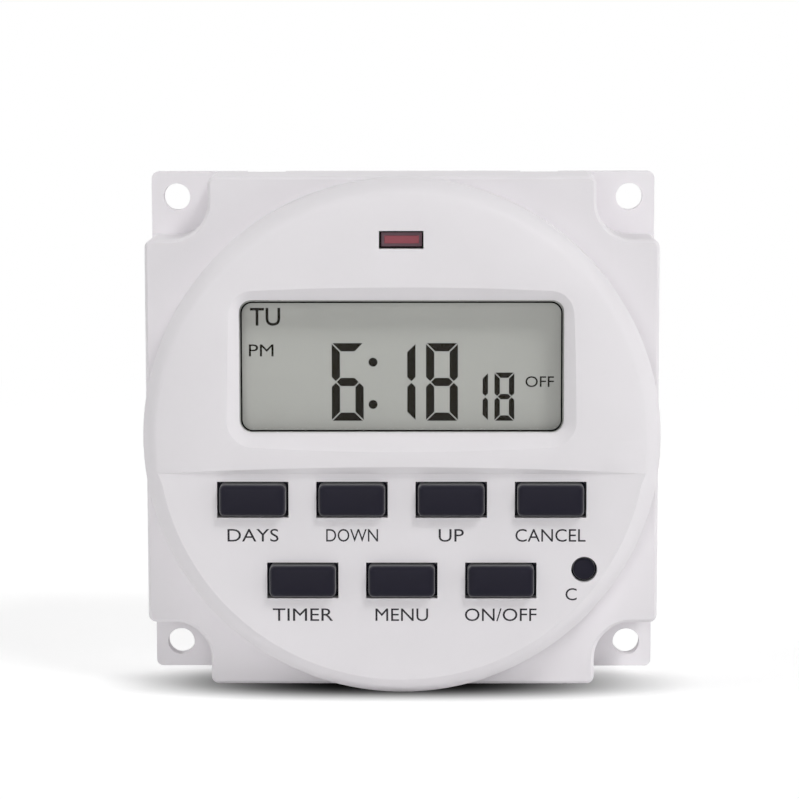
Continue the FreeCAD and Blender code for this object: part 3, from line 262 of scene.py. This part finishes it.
# ---------------------------------------------------------------- small helpers
def box_centre(node):
    low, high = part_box(node)
    return (low + high) / 2


def collection_link(obj):
    bpy.context.scene.collection.objects.link(obj)
    return obj


def dress(obj, material):
    obj.data.materials.clear()
    obj.data.materials.append(material)


def grey(value):
    return (value, value, value, 1.0)


def linear(r, g, b):
    """Colour written as 0..255 screen values."""
    def one(v):
        v = v / 255
        return v / 12.92 if v <= 0.04045 else ((v + 0.055) / 1.055) ** 2.4
    return (one(r), one(g), one(b), 1.0)


def scaled(colour, factor):
    return tuple(min(1.0, c * factor) for c in colour[:3]) + (1.0,)


# ---------------------------------------------------------------- node helpers
class Nodes:
    """Short hand for building one material's or world's node tree."""

    def __init__(self, owner, output="ShaderNodeOutputMaterial"):
        owner.use_nodes = True
        self.tree = owner.node_tree
        self.tree.nodes.clear()
        self.out = self.add(output)

    def add(self, kind, **values):
        node = self.tree.nodes.new(kind)
        for key, value in values.items():
            setattr(node, key, value)
        return node

    def link(self, source, target):
        self.tree.links.new(source, target)

    def power(self, source, exponent):
        node = self.add("ShaderNodeMath", operation="POWER")
        node.inputs[1].default_value = exponent
        self.link(source, node.inputs[0])
        return node.outputs[0]

    def rays(self, kinds):
        """1 for rays of any of the kinds, and 0 for the others."""
        path = self.add("ShaderNodeLightPath")
        found = path.outputs[kinds[0]]
        for kind in kinds[1:]:
            either = self.add("ShaderNodeMath", operation="MAXIMUM")
            self.link(found, either.inputs[0])
            self.link(path.outputs[kind], either.inputs[1])
            found = either.outputs[0]
        return found

    def mix(self, factor, first, second):
        """Mix of two shaders. The factor is a socket or a number."""
        node = self.add("ShaderNodeMixShader")
        if isinstance(factor, float):
            node.inputs[0].default_value = factor
        else:
            self.link(factor, node.inputs[0])
        self.link(first, node.inputs[1])
        self.link(second, node.inputs[2])
        return node.outputs[0]

    def finish(self, shader):
        self.link(shader, self.out.inputs["Surface"])


def object_noise(n, place, scale, detail, stretch=None):
    """Noise fixed to the piece, drawn out along an axis where stretch is given."""
    noise = n.add("ShaderNodeTexNoise")
    noise.inputs["Scale"].default_value = scale
    noise.inputs["Detail"].default_value = detail
    if stretch:
        mapping = n.add("ShaderNodeMapping")
        mapping.inputs["Scale"].default_value = stretch
        n.link(place, mapping.inputs["Vector"])
        place = mapping.outputs["Vector"]
    n.link(place, noise.inputs["Vector"])
    return noise.outputs["Fac"]


def two_tone(n, factor, low, high):
    ramp = n.add("ShaderNodeValToRGB")
    for element, stop, colour in zip(ramp.color_ramp.elements, SHADE_STOPS, (low, high)):
        element.position = stop
        element.color = colour
    n.link(factor, ramp.inputs["Fac"])
    return ramp.outputs["Color"]


def spread(n, source, low, high):
    """A value from 0 to 1 spread over another range."""
    node = n.add("ShaderNodeMapRange")
    node.inputs["To Min"].default_value = low
    node.inputs["To Max"].default_value = high
    n.link(source, node.inputs["Value"])
    return node.outputs["Result"]


def rows_pattern(n, place, axis, pitch):
    """Even rows across an axis, such as wound wire, layered rubber or turned rings."""
    wave = n.add("ShaderNodeTexWave")
    if axis == "RINGS":
        wave.wave_type = "RINGS"
        wave.rings_direction = "Y"
    else:
        wave.bands_direction = axis
    wave.inputs["Scale"].default_value = WAVE_TURN / pitch
    wave.inputs["Distortion"].default_value = ROW_WAVER
    n.link(place, wave.inputs["Vector"])
    return wave.outputs["Fac"]


def row_colours(n, factor, second, first):
    """Colour of the rows, from the second colour to the socket of the first one."""
    mix = n.add("ShaderNodeMix", data_type="RGBA")
    colours = {s.name: s for s in mix.inputs if s.type == "RGBA"}
    n.link(factor, mix.inputs[0])
    colours["A"].default_value = second
    n.link(first, colours["B"])
    return [s for s in mix.outputs if s.type == "RGBA"][0]


def tracks_pattern(n, place, low, high, track):
    """Printed tracks under a board's mask."""
    mapping = n.add("ShaderNodeMapping")
    mapping.inputs["Rotation"].default_value = (math.radians(-90), 0, 0)
    n.link(place, mapping.inputs["Vector"])
    brick = n.add("ShaderNodeTexBrick", **TRACK_LAYOUT)
    brick.inputs["Scale"].default_value = 1 / TRACK_PITCH
    for socket, value in TRACK_SHAPE.items():
        brick.inputs[socket].default_value = value
    brick.inputs["Color1"].default_value = low
    brick.inputs["Color2"].default_value = high
    brick.inputs["Mortar"].default_value = track
    n.link(mapping.outputs["Vector"], brick.inputs["Vector"])
    return brick.outputs["Color"], brick.outputs["Fac"]


# ---------------------------------------------------------------- finishes
def surface(name, colour, rough=0.45, grain=0.25, grain_size=0.12, mottle=0.04, specular=0.5,
            coat=0.0, metallic=0.0, clear=0.0, sheen=0.0, stretch=None, rows=None, tracks=None):
    """Finish with grain in its bump and roughness, and a slow drift in its colour.

    grain_size is in mm, rows is (axis, pitch in mm, second colour), tracks is a track colour,
    and stretch draws the grain out along an axis.
    """
    material = bpy.data.materials.new(name)
    n = Nodes(material)
    shader = n.add("ShaderNodeBsdfPrincipled")
    for socket, value in (
        ("Specular IOR Level", specular),
        ("Coat Weight", coat),
        ("Metallic", metallic),
        ("Transmission Weight", clear),
        ("Sheen Weight", sheen),
        ("Sheen Roughness", SHEEN_ROUGH),
    ):
        shader.inputs[socket].default_value = value
    place = n.add("ShaderNodeTexCoord").outputs["Object"]
    low, high = scaled(colour, 1 - mottle), scaled(colour, 1 + mottle)
    drift = object_noise(n, place, DRIFT_SCALE, DRIFT_DETAIL)
    fine = object_noise(n, place, 1.0 / (grain_size * MM), GRAIN_DETAIL, stretch)
    shade = two_tone(n, drift, low, high)
    height = fine
    depth = grain_size * GRAIN_DEPTH
    if rows:
        axis, pitch, second = rows
        height = rows_pattern(n, place, axis, pitch * MM)
        depth = pitch * ROW_DEPTH
        shade = row_colours(n, height, second, shade)
    if tracks:
        shade, height = tracks_pattern(n, place, low, high, tracks)
    n.link(shade, shader.inputs["Base Color"])
    worn = spread(n, fine, max(ROUGH_LEAST, rough - ROUGH_SWING), min(1.0, rough + ROUGH_SWING))
    n.link(worn, shader.inputs["Roughness"])
    bump = n.add("ShaderNodeBump")
    bump.inputs["Strength"].default_value = grain
    bump.inputs["Distance"].default_value = depth * MM
    n.link(height, bump.inputs["Height"])
    n.link(bump.outputs["Normal"], shader.inputs["Normal"])
    n.finish(shader.outputs["BSDF"])
    return material


def clear_plastic(name):
    """Clear window that lets the lamps' light through to the display."""
    material = bpy.data.materials.new(name)
    n = Nodes(material)
    shader = n.add("ShaderNodeBsdfPrincipled")
    shader.inputs["Base Color"].default_value = grey(WINDOW_TINT)
    shader.inputs["Transmission Weight"].default_value = 1.0
    shader.inputs["IOR"].default_value = WINDOW_IOR
    fine = n.add("ShaderNodeTexNoise")
    fine.inputs["Scale"].default_value = WINDOW_GRAIN
    n.link(n.add("ShaderNodeTexCoord").outputs["Object"], fine.inputs["Vector"])
    n.link(spread(n, fine.outputs["Fac"], *WINDOW_ROUGH), shader.inputs["Roughness"])
    through = n.add("ShaderNodeBsdfTransparent")
    n.finish(n.mix(n.rays(LIGHTING_RAYS), shader.outputs[0], through.outputs[0]))
    return material


FINISHES = {
    "cover_plastic": dict(colour=linear(231, 228, 231), rough=0.6, mottle=0.012, specular=0.25),
    # housing_plastic is the cover's plastic made lighter: painted light that lifts the ears out of
    # the shade of the body
    "housing_plastic": dict(colour=linear(238, 235, 238), rough=0.6, mottle=0.015, specular=0.25),
    "display_glass": dict(colour=linear(238, 244, 240), rough=0.08, grain=0.03, mottle=0.01,
                          clear=1.0),
    "polariser_film": dict(colour=linear(181, 182, 177), rough=0.5, grain=0.1, mottle=0.02,
                           specular=0.1),
    "frame_plastic": dict(colour=linear(58, 58, 60), rough=0.5, grain=0.4),
    "zebra_rubber": dict(colour=linear(196, 172, 168), rough=0.6,
                         rows=("X", 0.18, linear(52, 50, 52))),
    "lamp_red": dict(colour=linear(138, 62, 74), rough=0.3, mottle=0.1, specular=0.2),
    "tinned_metal": dict(colour=linear(212, 212, 208), rough=0.34, metallic=1.0, grain=0.3,
                         grain_size=0.2),
    "key_rubber": dict(colour=linear(10, 7, 27), rough=0.45, mottle=0.06, specular=0.1, sheen=0.42),
    "keypad_rubber": dict(colour=linear(158, 160, 164), rough=0.6, grain=0.4, specular=0.3),
    "carbon": dict(colour=linear(44, 44, 44), rough=0.8, grain=0.6, grain_size=0.08, specular=0.2),
    "control_board_green": dict(colour=linear(34, 116, 70), rough=0.35, grain=0.4, mottle=0.06,
                                tracks=linear(52, 132, 82)),
    "screw_steel": dict(colour=linear(200, 202, 204), rough=0.3, metallic=1.0,
                        rows=("RINGS", 0.16, linear(168, 170, 174))),
    "resin_black": dict(colour=linear(30, 30, 31), rough=0.22, grain=0.5, grain_size=0.6, coat=0.3),
    "can_metal": dict(colour=linear(206, 206, 202), rough=0.3, metallic=1.0, stretch=ALONG_X,
                      grain=0.3),
    "header_plastic": dict(colour=linear(42, 42, 43), rough=0.5, grain=0.4),
    "pin_brass": dict(colour=linear(222, 196, 122), rough=0.25, metallic=1.0, stretch=ALONG_Y,
                      grain=0.2),
    "blade_brass": dict(colour=linear(214, 206, 184), rough=0.28, metallic=1.0, mottle=0.06,
                        stretch=ALONG_Y, grain=0.3),
    "power_board_tan": dict(colour=linear(196, 160, 104), rough=0.55, grain=0.4, mottle=0.07,
                            stretch=ALONG_X),
    "relay_base_plastic": dict(colour=linear(48, 48, 52), rough=0.5, grain=0.4),
    "relay_case_blue": dict(colour=linear(42, 84, 168), rough=0.35, grain=0.3, mottle=0.06),
    "bobbin_plastic": dict(colour=linear(222, 216, 198), rough=0.5, mottle=0.03),
    "winding_copper": dict(colour=linear(206, 122, 74), rough=0.3, metallic=0.9,
                           rows=("Y", 0.12, linear(110, 52, 28))),
    "relay_iron": dict(colour=linear(196, 196, 192), rough=0.38, metallic=1.0, stretch=ALONG_X,
                       grain=0.3),
    "contact_bronze": dict(colour=linear(214, 166, 108), rough=0.28, metallic=1.0, stretch=ALONG_X,
                           grain=0.3),
    "film_capacitor_yellow": dict(colour=linear(222, 184, 66), rough=0.4, grain=0.4, grain_size=0.3,
                                  mottle=0.06),
    "filter_capacitor_sleeve": dict(colour=linear(56, 58, 66), rough=0.3, grain=0.3, grain_size=0.4,
                                    mottle=0.08),
    "component_black": dict(colour=linear(46, 46, 47), rough=0.55, grain=0.5, grain_size=0.1),
    "varistor_blue": dict(colour=linear(64, 100, 172), rough=0.35, grain=0.6, grain_size=0.5,
                          mottle=0.08, coat=0.2),
    "fuse_coating": dict(colour=linear(150, 176, 156), rough=0.5, grain=0.5, grain_size=0.3,
                         mottle=0.06),
    "print_grey": dict(colour=linear(48, 45, 50), rough=0.6, mottle=0.03, specular=0.2),
    "lcd_dark": dict(colour=linear(26, 22, 14), rough=0.5, mottle=0.06, specular=0.0),
    # Near black for the ring round the window, painted shade of the gap between window and cover
    "gap_shade_black": dict(colour=linear(18, 18, 18), rough=0.6, mottle=0.06, specular=0.0),
    # Near black lamp body: painted shade of the gap round the lamp in its hole
    "lamp_body_shade": dict(colour=linear(30, 16, 20), rough=0.5, mottle=0.08, specular=0.05),
    # Grey-mauve lamp edge: painted reflection of the white surroundings on the red lens's bevel
    "lamp_edge_reflection": dict(colour=linear(106, 84, 92), rough=0.4, mottle=0.12, specular=0.2),
}
MATERIALS = {name: surface(name, **finish) for name, finish in FINISHES.items()}
MATERIALS["window_clear"] = clear_plastic("window_clear")


# ---------------------------------------------------------------- camera, lamps and floor
def make_camera():
    data = bpy.data.cameras.new("camera")
    data.lens = CAMERA_LENS
    data.sensor_width = CAMERA_SENSOR
    data.clip_start = CAMERA_NEAR
    data.clip_end = CAMERA_FAR
    camera = collection_link(bpy.data.objects.new("camera", data))
    turn = Euler((math.radians(90 - CAMERA_PITCH), 0, math.radians(CAMERA_YAW)), "XYZ").to_matrix()
    roll = Matrix.Rotation(math.radians(CAMERA_ROLL), 3, "Z")
    camera.matrix_world = Matrix.Translation(CAMERA_PLACE) @ (turn @ roll).to_4x4()
    bpy.context.scene.camera = camera


def make_lamp(name, azimuth, elevation, watts, size):
    """Soft box that faces the object."""
    data = bpy.data.lights.new(name, "AREA")
    data.shape = "SQUARE"
    data.size = size
    data.energy = watts
    lamp = collection_link(bpy.data.objects.new(name, data))
    a, e = math.radians(azimuth), math.radians(elevation)
    away = Vector((math.sin(a) * math.cos(e), -math.cos(a) * math.cos(e), math.sin(e)))
    lamp.location = away * LAMP_AWAY
    lamp.rotation_euler = (-away).to_track_quat("-Z", "Y").to_euler()


def make_world():
    """White where it is seen, and faint as a light."""
    world = bpy.data.worlds.new("studio")
    bpy.context.scene.world = world
    n = Nodes(world, "ShaderNodeOutputWorld")
    shown = []
    for strength in (WORLD_LIGHT, 1.0):
        light = n.add("ShaderNodeBackground")
        light.inputs["Color"].default_value = grey(1.0)
        light.inputs["Strength"].default_value = strength
        shown.append(light.outputs[0])
    n.finish(n.mix(n.rays(SEEN_RAYS), *shown))


def pool_shade(n, place):
    """Painted shadow: 1 on the open floor, and falling to dark in the pool under the front."""
    centred = n.add("ShaderNodeMapping")
    reach_x, reach_y = POOL_REACH
    centred.inputs["Location"].default_value = (-POOL_X / reach_x, -POOL_Y / reach_y, 0)
    centred.inputs["Scale"].default_value = (1 / reach_x, 1 / reach_y, 0)
    n.link(place, centred.inputs["Vector"])
    away = n.add("ShaderNodeVectorMath", operation="ABSOLUTE")
    n.link(centred.outputs["Vector"], away.inputs[0])
    sides = n.add("ShaderNodeSeparateXYZ")
    n.link(away.outputs["Vector"], sides.inputs[0])
    total = n.add("ShaderNodeMath", operation="ADD")
    for i in range(2):
        n.link(n.power(sides.outputs[i], POOL_SQUARE), total.inputs[i])
    pool = n.add("ShaderNodeMapRange", interpolation_type="SMOOTHSTEP")
    pool.inputs["To Min"].default_value = POOL_LEVEL
    n.link(n.power(total.outputs[0], 1 / POOL_SQUARE), pool.inputs["Value"])
    return n.power(pool.outputs["Result"], POOL_DEEP)


def floor_paper():
    """White paper that shows the lamps' shadows and a painted pool of shade, and fades to plain
    white far away.
    """
    material = bpy.data.materials.new("floor_paper")
    n = Nodes(material)
    place = n.add("ShaderNodeTexCoord").outputs["Object"]
    shade = pool_shade(n, place)
    level = n.add("ShaderNodeMath", operation="MULTIPLY")
    level.inputs[1].default_value = FLOOR_SEEN
    n.link(shade, level.inputs[0])
    lit = n.add("ShaderNodeBsdfDiffuse")
    n.link(level.outputs[0], lit.inputs["Color"])
    own = n.add("ShaderNodeEmission")
    n.link(shade, own.inputs["Color"])
    near = n.mix(FLOOR_OWN, lit.outputs[0], own.outputs[0])
    far = n.add("ShaderNodeEmission")
    far.inputs["Color"].default_value = grey(1.0)
    away = n.add("ShaderNodeVectorMath", operation="LENGTH")
    n.link(place, away.inputs[0])
    fade = n.add("ShaderNodeMapRange", interpolation_type="SMOOTHSTEP")
    fade.inputs["From Min"].default_value = FLOOR_FADE[0]
    fade.inputs["From Max"].default_value = FLOOR_FADE[1]
    n.link(away.outputs["Value"], fade.inputs["Value"])
    seen = n.mix(fade.outputs["Result"], near, far.outputs[0])
    paper = n.add("ShaderNodeBsdfDiffuse")
    paper.inputs["Color"].default_value = grey(FLOOR_BOUNCE)
    n.finish(n.mix(n.rays(SEEN_RAYS), paper.outputs[0], seen))
    return material


def make_floor():
    mesh = bpy.data.meshes.new("floor")
    shape = bmesh.new()
    bmesh.ops.create_grid(shape, x_segments=FLOOR_CELLS, y_segments=FLOOR_CELLS, size=FLOOR_REACH)
    shape.to_mesh(mesh)
    shape.free()
    floor = collection_link(bpy.data.objects.new("floor", mesh))
    floor.location = (0, 0, GROUND)
    dress(floor, floor_paper())


# ---------------------------------------------------------------- mesh helpers
def mesh_object(name, points, faces, material, smooth=False):
    mesh = bpy.data.meshes.new(name)
    mesh.from_pydata(points, [], faces)
    mesh.validate()
    shape = bmesh.new()
    shape.from_mesh(mesh)
    bmesh.ops.recalc_face_normals(shape, faces=shape.faces)
    for face in shape.faces:
        face.smooth = smooth
    shape.to_mesh(mesh)
    shape.free()
    mesh.materials.append(material)
    return collection_link(bpy.data.objects.new(name, mesh))


def place_piece(obj, body, slot, *replaced):
    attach(obj, body)
    if replaced:
        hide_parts(*replaced)


def on_circle(radius, angle):
    return radius * math.cos(angle), radius * math.sin(angle)


def rounded_outline(width, height, corner, steps=6):
    """Points of a rounded rectangle about the origin, in X and Z."""
    points = []
    for quarter, (sx, sz) in enumerate(((1, 1), (-1, 1), (-1, -1), (1, -1))):
        for i in range(steps + 1):
            x, z = on_circle(corner, math.radians(90 * quarter + 90 * i / steps))
            points.append((sx * (width / 2 - corner) + x, sz * (height / 2 - corner) + z))
    return points


def round_outline(diameter, steps=48):
    return [on_circle(diameter / 2, 2 * math.pi * i / steps) for i in range(steps)]


def lofted(name, outline_at, profile, centre, material, smooth=True):
    """Closed piece through outlines. profile lists (inset, Y) from the back to the front."""
    points = []
    faces = []
    count = len(outline_at(0.0))
    for inset, depth in profile:
        for x, z in outline_at(inset):
            points.append((centre[0] + x, depth, centre[1] + z))
    for row in range(len(profile) - 1):
        for i in range(count):
            j = (i + 1) % count
            a = row * count
            b = a + count
            faces.append((a + i, a + j, b + j, b + i))
    faces.append(tuple(range(count)))
    top = (len(profile) - 1) * count
    faces.append(tuple(top + i for i in range(count)))
    return mesh_object(name, points, faces, material, smooth)


def fillet_profile(depth, radius, steps=5):
    """Quarter-round from the side wall onto a face at the given depth, towards -Y."""
    rows = []
    for i in range(steps + 1):
        angle = math.radians(90 * i / steps)
        rows.append((radius * (1 - math.cos(angle)), depth + radius * (1 - math.sin(angle))))
    return rows


def flat_shapes(name, outlines, y, thickness, material):
    """Thin printed or etched shapes, each a closed prism that stands off a face."""
    points = []
    faces = []
    for outline in outlines:
        first = len(points)
        count = len(outline)
        points += [(x, y, z) for x, z in outline]
        points += [(x, y - thickness, z) for x, z in outline]
        faces.append(tuple(range(first, first + count)))
        faces.append(tuple(range(first + count, first + 2 * count)))
        for i in range(count):
            j = (i + 1) % count
            faces.append((first + i, first + j, first + count + j, first + count + i))
    return mesh_object(name, points, faces, material)


def text_mesh(name, text, half=0.0, weight=0.0):
    """Mesh of a text at size 1, in X and Y, that reaches half to each side in Z."""
    data = bpy.data.curves.new(name, "FONT")
    data.body = text
    data.offset = weight
    data.resolution_u = LETTER_STEPS
    data.extrude = half
    holder = bpy.data.objects.new(name, data)
    mesh = bpy.data.meshes.new_from_object(holder)
    bpy.data.objects.remove(holder)
    return mesh


def span(values):
    values = list(values)
    return min(values), max(values)


def cap_ratio():
    """Height of a capital letter in the font, for a text size of 1."""
    mesh = text_mesh("measure", "H")
    low, high = span(v.co.y for v in mesh.vertices)
    bpy.data.meshes.remove(mesh)
    return high - low


CAP_RATIO = cap_ratio()


def lettering(name, text, centre, cap, width, y, material, weight=0.0, faces_back=False):
    """Letters as a thin layer. centre is (X, Z) of the capitals, width their whole length."""
    mesh = text_mesh(name, text, LETTER_HALF, weight)
    low, high = span(v.co.x for v in mesh.vertices)
    tall = cap / CAP_RATIO
    wide = width / (high - low)
    side = -1 if faces_back else 1
    for v in mesh.vertices:
        x = (v.co.x - (low + high) / 2) * wide * side
        z = (v.co.y - CAP_RATIO / 2) * tall
        v.co = (centre[0] + x, y - (v.co.z + LETTER_HALF) * PRINT_T * side, centre[1] + z)
    mesh.update()
    mesh.name = name
    mesh.materials.clear()
    mesh.materials.append(material)
    return collection_link(bpy.data.objects.new(name, mesh))


# ---------------------------------------------------------------- pieces
def soften(node, width):
    """Rounded edges on a solid that is shown as it is."""
    obj = nodes[node]
    weld = obj.modifiers.new("weld", "WELD")
    weld.merge_threshold = WELD_GAP
    flat = obj.modifiers.new("flat", "DECIMATE")
    flat.decimate_type = "DISSOLVE"
    flat.angle_limit = math.radians(FLAT_ANGLE)
    bevel = obj.modifiers.new("bevel", "BEVEL")
    bevel.width = width
    bevel.segments = EDGE_STEPS
    bevel.limit_method = "ANGLE"
    bevel.angle_limit = math.radians(EDGE_ANGLE)
    bevel.harden_normals = True


def make_key(name):
    """Moulded cap with a rounded edge and a low crown, on the flange behind the cover."""
    low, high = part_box(name + "_key")
    middle = (low + high) / 2
    if name == "reset":
        width, height, rounding = RESET_D, RESET_D, RESET_ROUND

        def outline_at(inset):
            return round_outline(RESET_D - 2 * inset)
    else:
        width, height, rounding = KEY_W, KEY_H, KEY_ROUND

        def outline_at(inset):
            corner = max(KEY_CORNER - max(inset, 0), KEY_CORNER_LEAST)
            return rounded_outline(KEY_W - 2 * inset, KEY_H - 2 * inset, corner)
    flange = (high.x - low.x - width) / 2
    shoulder = low.y + KEY_CROWN
    profile = [
        (0, high.y),
        (0, KEY_FLANGE_BACK),
        (-flange, KEY_FLANGE_BACK),
        (-flange, KEY_FLANGE_FRONT),
        (-KEY_SKIRT, KEY_FLANGE_FRONT),
        (-KEY_SKIRT, KEY_SKIRT_FRONT),
        (0, KEY_SKIRT_FRONT),
    ]
    profile += fillet_profile(shoulder, rounding)
    reach = height / 2 - rounding
    for part in KEY_CROWN_STEPS:
        rise = KEY_CROWN * math.sin(math.radians(90 * part))
        profile.append((rounding + reach * part, shoulder - rise))
    centre = (middle.x, middle.z)
    cap = lofted(name + "_key_cap", outline_at, profile, centre, MATERIALS["key_rubber"])
    split = cap.modifiers.new("split", "EDGE_SPLIT")
    split.split_angle = math.radians(KEY_SPLIT_ANGLE)
    place_piece(cap, name + "_key", "key_rubber", name + "_key")


def make_indicator():
    """Red lens in bevelled edges whose grey is a painted reflection, in its body dark with painted
    shade.
    """
    low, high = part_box("indicator_led")
    middle = (low + high) / 2
    width, height = high.x - low.x, high.z - low.z
    step = low.y + LENS_STEP
    face = low.y + LENS_PROUD
    inner = LENS_SIDE + LENS_EDGE
    shifted = (middle.x + LENS_SHIFT[0], middle.z + LENS_SHIFT[1])
    bevel = [(LENS_SIDE, step), (LENS_SIDE, low.y + LENS_DROP), (inner, face)]

    def outline_at(inset):
        corner = max(LENS_CORNER - inset, LENS_CORNER_LEAST)
        return rounded_outline(width - 2 * inset, height - 2 * inset, corner, LENS_CORNER_STEPS)

    for name, profile, centre, finish in (
        ("indicator_body", [(0, high.y), (0, step)], (middle.x, middle.z), "lamp_body_shade"),
        ("indicator_edge", bevel, shifted, "lamp_edge_reflection"),
        ("indicator_lens", [(inner, face), (inner + LENS_PROUD, low.y)], shifted, "lamp_red"),
    ):
        piece = lofted(name, outline_at, profile, centre, MATERIALS[finish], False)
        place_piece(piece, "case", "lamp_red", "indicator_led")


def digit_segments(left, bottom, width, height, thick, gap, shown):
    """Mitred bars of one seven-segment figure. shown holds the letters a to g of the lit ones."""
    mid = height / 2
    half = thick / 2
    upright = [
        (0, height - gap),
        (thick, height - gap - thick),
        (thick, mid + half + gap),
        (half, mid + gap),
        (0, mid + half + gap),
    ]
    level = [
        (gap, height),
        (width - gap, height),
        (width - gap - thick, height - thick),
        (gap + thick, height - thick),
    ]
    middle = [
        (half + gap, mid),
        (thick + gap, mid + half),
        (width - thick - gap, mid + half),
        (width - half - gap, mid),
        (width - thick - gap, mid - half),
        (thick + gap, mid - half),
    ]
    bars = {
        "a": level,
        "b": [(width - x, y) for x, y in upright],
        "c": [(width - x, height - y) for x, y in upright],
        "d": [(x, height - y) for x, y in level],
        "e": [(x, height - y) for x, y in upright],
        "f": upright,
        "g": middle,
    }
    return [[(left + x, bottom + y) for x, y in bars[letter]] for letter in shown]


def dot(x, z, diameter, steps=24):
    return [(x + dx, z + dz) for dx, dz in round_outline(diameter, steps)]


def make_display():
    """Lit segments, colon and words on the front of the display."""
    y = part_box("display_front_polariser")[0].y
    ink = MATERIALS["lcd_dark"]
    bars = []
    for (width, height, thick), gap, right, shown in FIGURES:
        bars += digit_segments(right - width, LCD_BASE, width, height, thick, gap, shown)
    for z in COLON_Z:
        bars.append(dot(COLON_X, z, COLON_D))
    figures = flat_shapes("display_figures", bars, y, PRINT_T, ink)
    place_piece(figures, "case", "polariser_film")
    for name, text, x, z, cap, width, weight in DISPLAY_WORDS:
        made = lettering(name, text, (x * MM, z * MM), cap * MM, width * MM, y, ink, weight)
        place_piece(made, "case", "polariser_film")


def make_window_gap_shade():
    """Dark ring on the front of the window, painted shade of the gap round it."""
    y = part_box("display_window")[0].y
    outer = rounded_outline(WINDOW_W, WINDOW_H, WINDOW_CORNER, WINDOW_CORNER_STEPS)
    inner = rounded_outline(WINDOW_W - 2 * OUTLINE_W, WINDOW_H - 2 * OUTLINE_W,
                            WINDOW_CORNER - OUTLINE_W, WINDOW_CORNER_STEPS)
    points = [(x, y, WINDOW_Z + z) for x, z in outer + inner]
    points += [(x, y - PRINT_T, WINDOW_Z + z) for x, z in outer + inner]
    count = len(outer)
    up = 2 * count
    faces = []
    for i in range(count):
        j = (i + 1) % count
        o, p, q, r = i, j, count + j, count + i
        faces += [
            (o, p, q, r),
            (o + up, p + up, q + up, r + up),
            (o, p, p + up, o + up),
            (q, r, r + up, q + up),
        ]
    ring = mesh_object("window_gap_shade", points, faces, MATERIALS["gap_shade_black"])
    place_piece(ring, "case", "window_clear")


def make_legends():
    ink = MATERIALS["print_grey"]
    for key, text, width, z in LEGENDS:
        at = (box_centre(key + "_key").x, z)
        made = lettering("legend_" + key, text, at, LEGEND_CAP, width * MM, FIELD_Y, ink)
        place_piece(made, "case", "cover_plastic")
    made = lettering("legend_reset", RESET_LETTER, RESET_LETTER_AT, RESET_LETTER_CAP,
                     RESET_LETTER_W, FIELD_Y, ink)
    place_piece(made, "case", "cover_plastic")


def make_terminal_numbers():
    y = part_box("rear_housing")[1].y - PLATE_SUNK
    for i, (number, width) in enumerate(NUMBERS):
        at = ((FIRST_TERMINAL - i) * TERMINAL_PITCH, NUMBER_Z)
        made = lettering("terminal_number_" + number, number, at, NUMBER_CAP, width * MM, y,
                         MATERIALS["print_grey"], faces_back=True)
        place_piece(made, "case", "housing_plastic")


bpy.context.scene.view_settings.view_transform = "Standard"
make_camera()
make_world()
make_floor()
for lamp in LAMPS:
    make_lamp(*lamp)
for row in frame["record"]["subparts"]:
    dress(nodes[row["node"]], MATERIALS[row["material_slot"]])
for node, width in EDGE_WIDTHS.items():
    soften(node, width * MM)
for key in KEYS:
    make_key(key)
make_indicator()
make_display()
make_window_gap_shade()
make_legends()
make_terminal_numbers()
